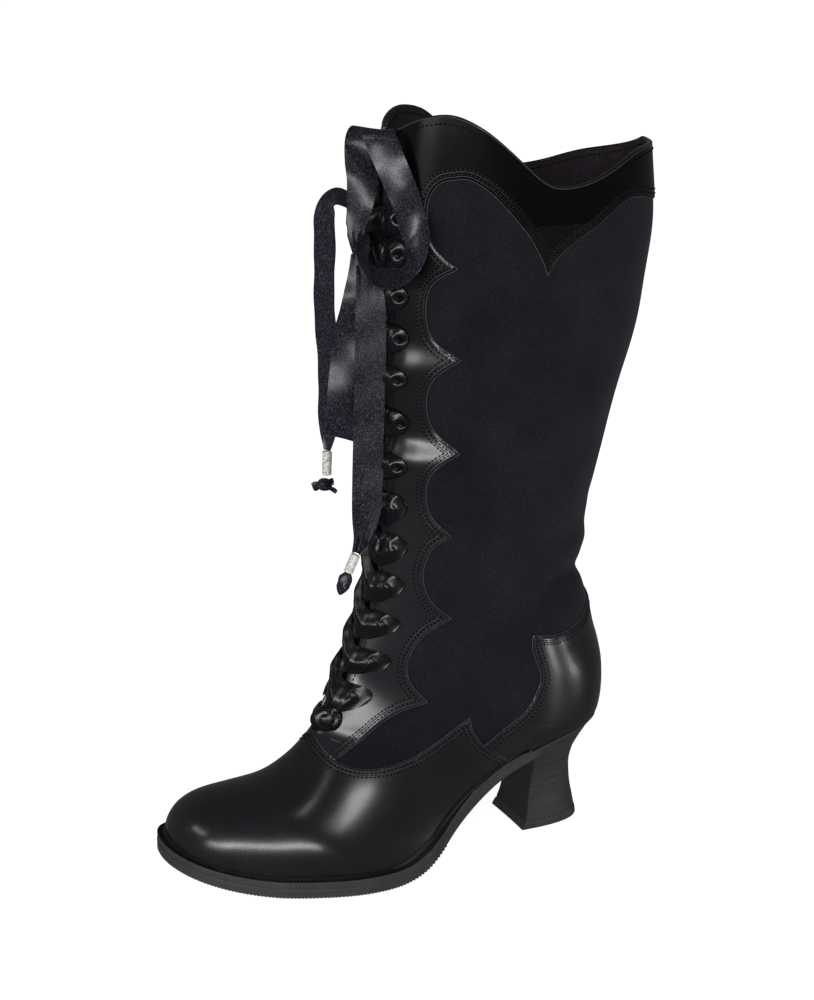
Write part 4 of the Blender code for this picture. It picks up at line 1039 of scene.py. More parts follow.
# creases of the upper: polyline in (s, angle), depth, half breadth, where it fades
CREASES = (
    (((229.5, 180.0), (229.5, 160.0), (229.5, 147.0), (231.0, 123.7), (241.7, 104.0)), -2.6, 5.0),
    (((213.0, 180.0), (213.0, 150.0), (217.0, 125.0)), 1.7, 6.5),
    (((245.0, 180.0), (245.0, 158.0), (249.0, 130.0)), 0.35, 6.5),
    (((262.0, 168.0), (264.0, 140.0), (267.0, 112.0)), -0.40, 6.0),
    (((280.0, 165.0), (281.0, 140.0), (283.0, 112.0)), 0.35, 7.0),
    (((205.0, 100.0), (214.0, 84.0), (218.0, 70.0)), -0.40, 6.0),
    (((186.0, 172.0), (190.0, 150.0), (199.0, 128.0)), -0.45, 6.0),
    (((262.0, 84.0), (268.0, 74.0), (276.0, 60.0)), -0.45, 6.0),
    (((150.0, 150.0), (158.0, 128.0)), -0.30, 8.0),
)


BASE = -0.7               # the panels' thickness is taken out of the face


def polyline_distance(u, v, line):
    """Distance in the plane from points to a polyline, and the share along it."""
    line = np.asarray(line, float)
    best = np.full(np.shape(u), 1e9)
    at = np.zeros(np.shape(u))
    n = len(line) - 1
    for i in range(n):
        a, b = line[i], line[i + 1]
        d = b - a
        t = np.clip(((u - a[0]) * d[0] + (v - a[1]) * d[1]) / max(d @ d, 1e-12), 0.0, 1.0)
        q = np.hypot(u - a[0] - t * d[0], v - a[1] - t * d[1])
        closer = q < best
        best = np.where(closer, q, best)
        at = np.where(closer, (i + t) / n, at)
    return best, at


def relief(sign, s, a):
    """Height of the creases over the smooth face, in mm."""
    deg = np.degrees(a) * 0.72
    h = np.zeros(np.shape(s))
    for line, depth, breadth in CREASES:
        k = np.array([(q[0], q[1] * 0.72) for q in line])
        d, at = polyline_distance(s, deg, k)
        tail = 1.0 - 0.55 * np.clip((at - 0.55) / 0.45, 0.0, 1.0)
        h += depth * tail * np.exp(-(d / breadth) ** 2)
    calm = np.clip(s / 40.0, 0.0, 1.0) * np.clip((330.0 - s) / 60.0, 0.0, 1.0)
    h += calm * (0.22 * np.sin(s / 9.5 + deg / 13.0 + 0.4 * sign) + 0.18 * np.sin(s / 15.0 - deg / 8.0 + 1.0)
                 + 0.12 * np.sin(deg / 4.2 + s / 31.0))
    # the facing bows out below its cusps
    front = np.clip((48.0 - deg) / 10.0, 0.0, 1.0)
    for at_s, size, wave in ((160.0, 2.1, 44.0), (110.0, 1.0, 40.0), (309.0, 1.0, 60.0)):
        h += front * size * np.sin(2 * math.pi * (s - at_s) / wave) * np.exp(-((s - at_s) / (0.55 * wave)) ** 2)
    return h + BASE


def face(sign, s, a, off=0.0):
    """Creased outer face pushed out by off, with its normal."""
    sign, s, a = np.broadcast_arrays(np.asarray(sign, float), np.asarray(s, float), np.asarray(a, float))
    e, g = 0.5, 0.008
    s_in = np.clip(s, e, S_END - 1.2)
    a_in = np.clip(a, -math.pi, math.pi - g * 1.5)
    along = soft_point(sign, s_in + e, a_in) - soft_point(sign, s_in - e, a_in)
    around = soft_point(sign, s_in, a_in + g) - soft_point(sign, s_in, a_in - g)
    n = unit(np.cross(around, along))
    p = soft_point(sign, s, a)
    mid = np.stack([column("centre", s), 0.5 * (column("front_y", s) + column("base_y", s)) + 8.0,
                    0.5 * (column("front_z", s) + column("base_z", s))], -1)
    n = np.where((np.sum(n * (p - mid), -1) < 0)[..., None], -n, n)
    return p + n * (np.asarray(off) + relief(sign, s, a))[..., None], n


def start_angle(sign, s):
    half = np.maximum(np.where(sign > 0, column("half_lat", s), column("half_med", s)) * toe_cap(s), 1e-9)
    return np.arcsin(np.clip(throat_half(s) / half, 0.0, 0.9) ** (1.0 / column("crown", s)))


def stations(step):
    s = list(np.arange(0.0, S_END - 6.0, step))
    u = np.linspace(0.0, 1.0, int(12 / step) + 6)
    s += list(S_END - 6.0 + 6.0 * (1.0 - (1.0 - u) ** 1.8))
    s += list(S_OF[THROAT_ROW] - np.array([0.0, 0.4, 1.2, 2.4, 4.0, 6.0]))
    s += [S_OF["seat_back"], S_OF["seat_back"] + 0.02]
    return np.array(sorted(set(np.round(s, 4))))


def param_grid(step, cols):
    """Sign, section and angle of a grid over both halves, throat or crest to the end."""
    s = stations(step)
    t = np.linspace(0.0, 1.0, cols)
    out = []
    for sign in (1.0, -1.0):
        S, T = np.meshgrid(s, t, indexing="ij")
        a0, a1 = start_angle(sign, s)[:, None], end_angle(s)[:, None]
        mid = np.minimum(SIDE_ANGLE, 0.5 * (a0 + a1) + 0.1)
        A = np.where(T < 0.5, a0 + (mid - a0) * 2 * T, mid + (a1 - mid) * (2 * T - 1))
        out.append((sign, S, A))
    return out


def welded(points, faces, tol=2e-3):
    """Coinciding points become one; faces that collapse go."""
    key = np.round(points / tol).astype(np.int64)
    _, first, inverse = np.unique(key, axis=0, return_index=True, return_inverse=True)
    inverse = inverse.reshape(-1)
    pts = points[first]
    out = {}
    for f in faces:
        g = inverse[f]
        if f.shape[1] == 4:
            same = (g == np.roll(g, 1, 1)).sum(1)
            full = g[same == 0]
            if len(full):
                out.setdefault(4, []).append(full)
            part = g[same == 1]
            if len(part):
                tri = np.array([[x for k, x in enumerate(q) if x != q[k - 1]] for q in part])
                out.setdefault(3, []).append(tri)
        else:
            ok = (g[:, 0] != g[:, 1]) & (g[:, 1] != g[:, 2]) & (g[:, 2] != g[:, 0])
            if ok.any():
                out.setdefault(3, []).append(g[ok])
    return pts, [np.concatenate(v) for v in out.values()], first, inverse


def skin(name, step, cols, off, mats, inward=False):
    verts, faces, base = [], [], 0
    for sign, S, A in param_grid(step, cols):
        p, n = face(sign, S, A, off)
        verts.append(p.reshape(-1, 3))
        faces.append(quads(S.shape[0], S.shape[1], base, flip=(sign > 0) != inward))
        base += S.size
    pts, faces, _, _ = welded(np.concatenate(verts), faces, 0.02)
    return mesh_piece(name, pts, faces, mats)


UPPER = skin("upper_suede", 1.9, 92, 0.0, SUEDE)
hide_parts("upper")
LINER = skin("lining", 3.2, 60, -WALL, LINING, inward=True)


# ------------------------------------------------------------------ panels
def curve_through(points, step=0.06):
    """Rounded line through points in (s, degrees)."""
    p = np.asarray(points, float)
    if len(p) == 2:
        return p
    k = np.array([1.0, 0.75])
    at = np.concatenate([[0.0], np.cumsum(np.sqrt(np.linalg.norm(np.diff(p * k, axis=0), axis=1)))])
    pad = np.vstack([2 * p[0] - p[1], p, 2 * p[-1] - p[-2]])
    knots = np.concatenate([[at[0] - (at[1] - at[0])], at, [at[-1] + (at[-1] - at[-2])]])
    out = []
    for i in range(len(p) - 1):
        t0, t1, t2, t3 = knots[i:i + 4]
        q0, q1, q2, q3 = pad[i:i + 4]
        t = np.linspace(t1, t2, 14, endpoint=(i == len(p) - 2))[:, None]
        a1 = (t1 - t) / (t1 - t0) * q0 + (t - t0) / (t1 - t0) * q1
        a2 = (t2 - t) / (t2 - t1) * q1 + (t - t1) / (t2 - t1) * q2
        a3 = (t3 - t) / (t3 - t2) * q2 + (t - t2) / (t3 - t2) * q3
        b1 = (t2 - t) / (t2 - t0) * a1 + (t - t0) / (t2 - t0) * a2
        b2 = (t3 - t) / (t3 - t1) * a2 + (t - t1) / (t3 - t1) * a3
        out.append((t2 - t) / (t2 - t1) * b1 + (t - t1) / (t2 - t1) * b2)
    return np.concatenate(out)


def edge_line(arcs):
    """Arcs that meet at points, as one line."""
    out = [curve_through(a) for a in arcs]
    return np.concatenate([o if i == len(out) - 1 else o[:-1] for i, o in enumerate(out)])


BAND_AND_FACING = edge_line([
    [(36.0, 190.0), (34.5, 178.0), (31.5, 160.0), (29.9, 148.5), (25.4, 133.8), (23.0, 125.2), (24.0, 117.6), (30.1, 108.1),
     (38.9, 99.0), (52.8, 91.2), (66.1, 87.6)],
    [(66.1, 87.6), (56.4, 84.9), (46.9, 81.5), (38.1, 77.3), (31.0, 71.0), (26.4, 63.5), (24.6, 55.5), (25.0, 51.5),
     (26.5, 47.1), (28.0, 41.8), (30.8, 38.3), (34.3, 36.1), (39.6, 35.4), (52.1, 37.5), (60.3, 44.9), (64.0, 50.8)],
    [(64.0, 50.8), (71.9, 39.5), (85.0, 36.8), (99.6, 40.8), (110.0, 54.9)],
    [(110.0, 54.9), (119.6, 43.5), (132.8, 39.7), (147.7, 43.8), (159.9, 58.8)],
    [(159.9, 58.8), (169.5, 46.8), (181.6, 42.5), (194.4, 45.6), (205.2, 57.9)],
    [(205.2, 57.9), (212.9, 48.5), (226.8, 44.8), (241.1, 49.6), (251.4, 60.2)],
    [(251.4, 60.2), (262.4, 48.5), (280.2, 42.6), (294.5, 46.1), (303.9, 53.8)],
    [(303.9, 53.8), (311.0, 44.7), (319.7, 39.6), (340.0, 36.9), (363.0, 32.7), (372.0, 30.5)]])
VAMP_EDGE = edge_line([
    [(348.5, -16.0), (350.8, -6.0), (352.6, 0.0), (360.5, 11.8), (367.0, 22.5), (370.5, 33.2), (369.5, 41.5), (365.2, 49.7), (360.0, 55.5),
     (354.3, 59.3), (348.1, 62.0), (341.8, 63.2), (334.8, 63.8), (326.2, 64.2), (317.9, 65.3), (309.9, 68.6)],
    [(309.9, 68.6), (317.7, 71.2), (326.1, 76.2), (331.1, 80.6), (336.2, 87.0), (339.2, 95.0), (342.0, 104.0), (347.0, 122.0)]])
COUNTER_EDGE = edge_line([
    [(243.5, 190.0), (243.8, 178.0), (247.0, 163.0), (251.1, 149.7), (258.0, 129.7), (261.9, 110.7), (261.6, 94.8)],
    [(261.6, 94.8), (268.5, 92.6), (275.0, 92.7), (285.5, 93.6), (293.0, 90.4), (302.5, 86.7), (315.6, 80.5), (329.8, 79.8), (345.0, 82.0)]])


def region(line, closing):
    return np.concatenate([line, np.asarray(closing, float)])


FACING_REGION = region(BAND_AND_FACING, [(372.0, -40.0), (-30.0, -40.0), (-30.0, 190.0)])
VAMP_REGION = region(VAMP_EDGE, [(540.0, 122.0), (540.0, -16.0)])
COUNTER_REGION = region(COUNTER_EDGE, [(360.0, 84.0), (360.0, 190.0)])


def inside(u, v, poly):
    hit = np.zeros(np.shape(u), bool)
    q = np.roll(poly, -1, 0)
    for (x0, y0), (x1, y1) in zip(poly, q):
        if y0 == y1:
            continue
        cross = (y0 > v) != (y1 > v)
        hit ^= cross & (u < (x1 - x0) * (v - y0) / (y1 - y0) + x0)
    return hit


def signed_distance(sign, s, a, line, poly):
    """About how far inside the region a point lies, in mm along the face."""
    per = np.linalg.norm(raw_point(sign, s, np.minimum(a + 0.02, math.pi)) - raw_point(sign, s, np.minimum(a + 0.02, math.pi) - 0.04), axis=-1)
    per = np.maximum(per / math.degrees(0.04), 0.12)
    deg = np.degrees(a)
    best = np.full(s.shape, 1e9)
    for p, q in zip(line[:-1], line[1:]):
        du, dv = q[0] - p[0], (q[1] - p[1]) * per
        t = np.clip(((s - p[0]) * du + (deg - p[1]) * per * dv) / np.maximum(du * du + dv * dv, 1e-12), 0.0, 1.0)
        best = np.minimum(best, np.hypot(s - p[0] - t * du, (deg - p[1]) * per - t * dv))
    return np.where(inside(s, deg, poly), best, -best)


def panel(name, line, poly, step, cols, thick, mats, window, under=None):
    """Leather panel cut along a line and laid on the face, with an eased cut edge."""
    parts = []
    for sign, S, A in param_grid(step, cols):
        keep = (S[:, 0] >= window[0]) & (S[:, 0] <= window[1])
        S, A = S[keep], A[keep]
        n, m = S.shape
        s, a = S.reshape(-1), A.reshape(-1)
        d = signed_distance(np.full(s.shape, sign), s, a, line, poly)
        q = quads(n, m, 0, flip=(sign > 0))
        tri = np.concatenate([q[:, [0, 1, 2]], q[:, [0, 2, 3]]])
        count = (d[tri] > 0).sum(1)
        full = tri[count == 3]
        new_s, new_a, made, cut = [], [], {}, []

        def on_edge(i, j):
            k = (min(i, j), max(i, j))
            if k not in made:
                t = d[k[0]] / (d[k[0]] - d[k[1]])
                new_s.append(s[k[0]] + t * (s[k[1]] - s[k[0]]))
                new_a.append(a[k[0]] + t * (a[k[1]] - a[k[0]]))
                made[k] = len(s) + len(new_s) - 1
            return made[k]

        for t3 in tri[(count == 1) | (count == 2)]:
            poly3 = []
            for k in range(3):
                i, j = int(t3[k]), int(t3[(k + 1) % 3])
                if d[i] > 0:
                    poly3.append(i)
                if (d[i] > 0) != (d[j] > 0):
                    poly3.append(on_edge(i, j))
            for k in range(1, len(poly3) - 1):
                cut.append((poly3[0], poly3[k], poly3[k + 1]))
        s = np.concatenate([s, new_s])
        a = np.concatenate([a, new_a])
        d = np.concatenate([d, np.zeros(len(new_s))])
        f = np.concatenate([full, np.array(cut, int).reshape(-1, 3)])
        used = np.unique(f)
        back = np.full(len(s), -1)
        back[used] = np.arange(len(used))
        ease = np.clip(d[used] / 1.0, 0.0, 1.0)
        off = thick * (0.55 + 0.45 * np.sqrt(1.0 - (1.0 - ease) ** 2))
        if under is not None:
            covered = np.clip(signed_distance(np.full(len(used), sign), s[used], a[used], *under) / 0.8, 0.0, 1.0)
            off = off * (1.0 - covered) + 0.15 * covered
        p, nor = face(np.full(len(used), sign), s[used], a[used], off)
        parts.append((p, nor, off, back[f]))
    pts = np.concatenate([q[0] for q in parts])
    nor = np.concatenate([q[1] for q in parts])
    off = np.concatenate([q[2] for q in parts])
    tri = np.concatenate([parts[0][3], parts[1][3] + len(parts[0][0])])
    low = pts - nor * (off + 0.5)[:, None]
    pts, faces, first, _ = welded(pts, [tri], 0.02)
    low = low[first]
    tri = faces[0]
    e = np.concatenate([tri[:, [0, 1]], tri[:, [1, 2]], tri[:, [2, 0]]])
    key = np.sort(e, 1)
    _, at, inv, cnt = np.unique(key, axis=0, return_index=True, return_inverse=True, return_counts=True)
    rim = e[at[cnt == 1]]
    verts = np.concatenate([pts, low])
    side = np.stack([rim[:, 1], rim[:, 0], rim[:, 0] + len(pts), rim[:, 1] + len(pts)], -1)
    used = np.unique(np.concatenate([tri.reshape(-1), side.reshape(-1)]))
    back = np.full(len(verts), -1)
    back[used] = np.arange(len(used))
    index = None
    # faces above the band height take the second, near-black leather: painted shade on the collar band
    if isinstance(mats, list):
        low_z = [verts[g][:, :, 2].mean(1) for g in (tri, side)]
        index = (np.concatenate(low_z) > SHADED_BAND_Z).astype(int)
    ob = mesh_piece(name, verts[used], [back[tri], back[side]], mats, index=index, sharp=48.0)
    tree = BVHTree.FromPolygons([tuple(v) for v in pts], [tuple(t) for t in tri])
    return ob, tree


PANEL_T, VAMP_T = 0.9, 1.1
# above this height the facing panel is given painted shade
SHADED_BAND_Z = 336.0            # the collar band starts here
FACING, FACING_TREE = panel("facing_and_band", BAND_AND_FACING, FACING_REGION, 1.35, 132, PANEL_T, [FACING_LEATHER, SHADED_BAND_LEATHER], (0.0, 376.0), (VAMP_EDGE, VAMP_REGION))
VAMP, VAMP_TREE = panel("vamp", VAMP_EDGE, VAMP_REGION, 1.35, 120, VAMP_T, VAMP_LEATHER, (300.0, 520.0))
COUNTER, COUNTER_TREE = panel("counter", COUNTER_EDGE, COUNTER_REGION, 1.35, 132, PANEL_T, VAMP_LEATHER, (236.0, 350.0), (VAMP_EDGE, VAMP_REGION))


# ------------------------------------------------------------------ seams
def on_face(sign, line, off):
    s, a = line[:, 0], np.radians(np.clip(line[:, 1], -60.0, 180.0))
    return face(np.full(len(s), sign), s, a, off)


def spaced(points, step):
    at = np.concatenate([[0.0], np.cumsum(np.linalg.norm(np.diff(points, axis=0), axis=1))])
    n = max(2, int(at[-1] / step))
    q = np.linspace(0.0, at[-1], n)
    return np.stack([np.interp(q, at, points[:, k]) for k in range(3)], -1)


def shown(sign, line):
    """Part of a panel's edge that lies on the face."""
    s, deg = line[:, 0], line[:, 1]
    a0 = np.degrees(start_angle(sign, s))
    a1 = np.degrees(end_angle(s))
    return line[(deg <= np.minimum(a1, 180.0) + 0.5) & (deg >= np.where(a0 > 0.2, a0, 0.0) - 0.3)]


def grain(length, radius, rings=5, sides=6):
    """One stitch along x: a short rounded thread that dips at both ends."""
    t = np.linspace(-1.0, 1.0, rings)
    r = radius * np.sqrt(np.maximum(1.0 - (0.92 * t) ** 4, 0.02))
    th = 2 * math.pi * np.arange(sides) / sides
    x = 0.5 * length * t
    z = -0.55 * radius * t ** 2
    v = np.stack([np.broadcast_to(x[:, None], (rings, sides)), r[:, None] * np.cos(th), z[:, None] + r[:, None] * np.sin(th)], -1)
    f = [quads(rings, sides, wrap=True)]
    caps = np.array([[0, k, k + 1] for k in range(1, sides - 1)])
    last = (rings - 1) * sides
    return v.reshape(-1, 3), f[0], np.concatenate([caps, caps[:, ::-1] + last])


STITCH = grain(1.30, 0.46)
PUCKER = grain(0.80, 0.40, rings=3)


def stitches(runs, length_scale=1.0, shape=STITCH):
    """All stitches of some runs of (place, along, up) as one mesh."""
    v0, f4, f3 = shape
    V, F4, F3, base = [], [], [], 0
    for place, along, up in runs:
        along, up = unit(along), unit(up)
        side = unit(np.cross(up, along))
        up = np.cross(along, side)
        jit = 1.0 + 0.08 * np.sin(np.arange(len(place)) * 2.7)
        w = (place[:, None] + along[:, None] * (v0[None, :, :1] * length_scale * jit[:, None, None]) + side[:, None] * v0[None, :, 1:2] + up[:, None] * v0[None, :, 2:3])
        V.append(w.reshape(-1, 3))
        k = np.arange(len(place))[:, None, None] * len(v0) + base
        F4.append((f4[None] + k).reshape(-1, 4))
        F3.append((f3[None] + k).reshape(-1, 3))
        base += len(place) * len(v0)
    return np.concatenate(V), [np.concatenate(F4), np.concatenate(F3)]


def seam_lines(line, depth, tree, off, step, reach=2.5):
    """Lines along a panel's edge, depth inside it, on both halves: places and normals."""
    lines = []
    for sign in (1.0, -1.0):
        seg = shown(sign, line)
        p, n = on_face(sign, seg, off)
        p2 = spaced(p, 0.5)
        at = np.concatenate([[0.0], np.cumsum(np.linalg.norm(np.diff(p, axis=0), axis=1))])
        q = np.linspace(0.0, at[-1], len(p2))
        n2 = unit(np.stack([np.interp(q, at, n[:, k]) for k in range(3)], -1))
        tan = unit(np.gradient(p2, axis=0))
        ins = unit(np.cross(n2, tan))
        probe = range(2, len(p2) - 2, 9)
        gaps = [sum(tree.find_nearest(tuple(p2[k] + ins[k] * depth * way))[3] for k in probe) for way in (1.0, -1.0)]
        ins = ins if gaps[0] < gaps[1] else -ins
        c = p2 + ins * depth
        near = np.array([np.min(np.linalg.norm(p2 - x, axis=1)) for x in c])
        c = c[near > depth - 0.12]
        if len(c) < 8:
            continue
        cuts = np.where(np.linalg.norm(np.diff(c, axis=0), axis=1) > 3.0)[0] + 1
        for piece in np.split(c, cuts):
            if len(piece) < 5:
                continue
            hits = [tree.find_nearest(tuple(x), reach) for x in spaced(piece, step)]
            hits = [h for h in hits if h[0] is not None]
            if len(hits) > 2:
                lines.append((np.array([h[0] for h in hits]), np.array([h[1] for h in hits])))
    return lines


def seam_runs(line, depth, pitch, tree, off):
    """Stitch places along a panel's edge."""
    return [(p + up * 0.02, unit(np.gradient(p, axis=0)), up) for p, up in seam_lines(line, depth, tree, off, pitch)]


def seam_ridges(line, depths, tree, off, radius, rise):
    """Leather pushed up between the rows of stitches."""
    parts = []
    for depth in depths:
        for p, up in seam_lines(line, depth, tree, off, 0.8):
            if len(p) > 4:
                parts.append(tube(p + up * (rise - radius), radius, 8))
    return parts


def bead(name, lines, off, radius, mat):
    """Raw cut edge of a panel, seen as a thin paler line."""
    parts = []
    for line in lines:
        for sign in (1.0, -1.0):
            seg = shown(sign, line)
            p, n = on_face(sign, seg, off)
            p = spaced(p, 0.9)
            parts.append(tube(p, radius, 6))
    v, f = joined(parts)
    return mesh_piece(name, v, f, mat)


bead("cut_edges_facing", [BAND_AND_FACING[BAND_AND_FACING[:, 0] < 366.0]], 0.36, 0.25, EDGE)
bead("cut_edges_counter", [COUNTER_EDGE[COUNTER_EDGE[:, 0] < 332.0]], 0.36, 0.25, EDGE)
bead("cut_edges_vamp", [VAMP_EDGE], 0.46, 0.26, EDGE)

RUNS = []
for depth in (2.5, 4.8):
    RUNS += seam_runs(BAND_AND_FACING[BAND_AND_FACING[:, 0] < 366.0], depth, 2.15, FACING_TREE, PANEL_T)
    RUNS += seam_runs(COUNTER_EDGE, depth, 2.15, COUNTER_TREE, PANEL_T)
for depth in (2.2, 4.4):
    RUNS += seam_runs(VAMP_EDGE, depth, 2.15, VAMP_TREE, VAMP_T)
# puckers between the stitches, in the lighter pucker colour: painted highlights
between = [(0.5 * (p[:-1] + p[1:]) - up[:-1] * 0.14, along[:-1], up[:-1]) for p, along, up in RUNS]
v_, f_ = stitches(between, shape=PUCKER)
mesh_piece("seam_puckers", v_, f_, PUCKER_GLINT)
v_, f_ = joined(seam_ridges(BAND_AND_FACING[BAND_AND_FACING[:, 0] < 366.0], (1.3, 3.65), FACING_TREE, PANEL_T, 0.70, 0.11))
mesh_piece("seam_ridges_facing", v_, f_, SEAM_LEATHER)
v_, f_ = joined(seam_ridges(COUNTER_EDGE[COUNTER_EDGE[:, 0] < 318.0], (1.3, 3.65), COUNTER_TREE, PANEL_T, 0.70, 0.11)
                + seam_ridges(VAMP_EDGE, (1.1, 3.3), VAMP_TREE, VAMP_T, 0.70, 0.11))
mesh_piece("seam_ridges_vamp", v_, f_, SEAM_LEATHER)


# ------------------------------------------------------------------ collar and throat edge
def edge_roll():
    """Turned edge that joins the facing to the lining round throat and collar."""
    places, normals, outs = [], [], []
    for sign in (1.0, -1.0):
        s = np.concatenate([S_OF[THROAT_ROW] - np.array([0.0, 0.3, 0.9, 2.0, 3.5, 5.5, 8.0]),
                            np.linspace(S_OF[THROAT_ROW] - 10.0, 0.0, 190)])
        a = start_angle(sign, s)
        p, n = face(np.full(len(s), sign), s, a)
        q, _ = face(np.full(len(s), sign), s, a + 0.03)
        tan = unit(np.gradient(p, axis=0))
        e = unit(p - q)
        e = unit(e - n * np.sum(e * n, -1)[:, None])
        e = unit(e - tan * np.sum(e * tan, -1)[:, None])
        c = np.linspace(float(a[-1]), math.pi, 150)
        p2, n2 = face(np.full(len(c), sign), np.zeros(len(c)), c)
        q2, _ = face(np.full(len(c), sign), np.full(len(c), 2.0), c)
        e2 = unit(p2 - q2)
        e2 = unit(e2 - n2 * np.sum(e2 * n2, -1)[:, None])
        turn = np.linspace(0.0, 1.0, 9)[1:-1, None]
        corner_e = unit(e[-1] * (1 - turn) + e2[0] * turn)
        P = np.concatenate([p, np.repeat(p[-1:], 7, 0), p2])
        N = np.concatenate([n, np.repeat(n[-1:], 7, 0), n2])
        E = np.concatenate([e, corner_e, e2])
        if sign < 0:
            P, N, E = P[::-1][1:], N[::-1][1:], E[::-1][1:]
        places.append(P); normals.append(N); outs.append(E)
    P, N, E = (np.concatenate(q) for q in (places, normals, outs))
    phi = np.linspace(0.0, math.pi, 9)
    r = 0.5 * (PANEL_T + WALL)
    mid = P + N * (0.5 * (PANEL_T - WALL))
    ring = mid[:, None] + N[:, None] * (r * np.cos(phi))[None, :, None] + E[:, None] * (0.55 * r * np.sin(phi))[None, :, None]
    return mesh_piece("edge_roll", ring.reshape(-1, 3), quads(len(P), len(phi)), FACING_LEATHER)


edge_roll()


def collar_line():
    """Cut edge of the leather along the collar."""
    parts = []
    for sign in (1.0, -1.0):
        c = np.linspace(float(start_angle(sign, np.zeros(1))[0]) + 0.03, math.pi, 220)
        p, n = face(np.full(220, sign), np.full(220, 0.15), c, PANEL_T * 0.88)
        parts.append(tube(spaced(p, 0.9), 0.24, 6))
    v, f = joined(parts)
    mesh_piece("cut_edge_collar", v, f, EDGE)


collar_line()


def face_runs(sign_list, s, deg, pitch, inner=False):
    """Single row of stitches along given sections and angles."""
    runs = []
    for sign in sign_list:
        a = np.radians(deg(sign) if callable(deg) else deg)
        p, n = face(np.full(len(s), sign), s, a, -WALL - 0.02 if inner else PANEL_T)
        st = spaced(p, pitch)
        at = np.concatenate([[0.0], np.cumsum(np.linalg.norm(np.diff(p, axis=0), axis=1))])
        q = np.linspace(0.0, at[-1], len(st))
        up = unit(np.stack([np.interp(q, at, n[:, k]) for k in range(3)], -1))
        up = -up if inner else up
        runs.append((st + up * 0.10, unit(np.gradient(st, axis=0)), up))
    return runs


s_ = np.linspace(4.0, S_OF[THROAT_ROW] - 9.0, 240)
RUNS += face_runs((1.0, -1.0), s_, lambda sign: np.degrees(start_angle(sign, s_)) + np.degrees(3.0 / np.maximum(column("half_lat", s_), 20.0)), 2.3)
c_ = np.linspace(14.0, 179.0, 240)
RUNS += face_runs((1.0, -1.0), np.full(240, 3.4), c_, 2.2)
RUNS += face_runs((1.0, -1.0), np.full(240, 3.2), c_, 2.2, inner=True)
v_, f_ = stitches(RUNS)
mesh_piece("stitching", v_, f_, THREAD)


# ------------------------------------------------------------------ tongue
def tongue():
    s0, s1 = 3.0, S_OF[THROAT_ROW] + 12.0
    s = np.linspace(s0, s1, 130)
    half = np.interp(s, (s0, s1), TONGUE_HALF)
    half *= 1.0 - 0.45 * np.clip((s - s1 + 14.0) / 14.0, 0.0, 1.0) ** 2
    round_top = np.sqrt(np.clip((s - s0) / 9.0, 0.0, 1.0) * (2.0 - np.clip((s - s0) / 9.0, 0.0, 1.0)))
    half = half * (0.86 + 0.14 * round_top)
    u = np.linspace(-1.0, 1.0, 27)
    off = -(WALL + 0.6 + 0.5 * TONGUE_T) + 0.18 * np.sin(s[:, None] / 7.0 + 2.0 * u) * (1.0 - u ** 2)
    grid = front_point(s[:, None], half[:, None] * u, off)
    nor = unit(np.cross(np.gradient(grid, axis=0), np.gradient(grid, axis=1)))
    ob = plate("tongue_padded", grid, nor, TONGUE_T, TONGUE_LEATHER)
    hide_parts("tongue")


tongue()


# ------------------------------------------------------------------ lacing
EYES = np.array(EYELET_ROWS)


def ease(x):
    x = np.clip(x, 0.0, 1.0)
    return x * x * (3.0 - 2.0 * x)


HOLE_IN, TIP_OUT = 2.9, 0.6    # middle of the hole and tip of the ribbon, from the eyelet's distance


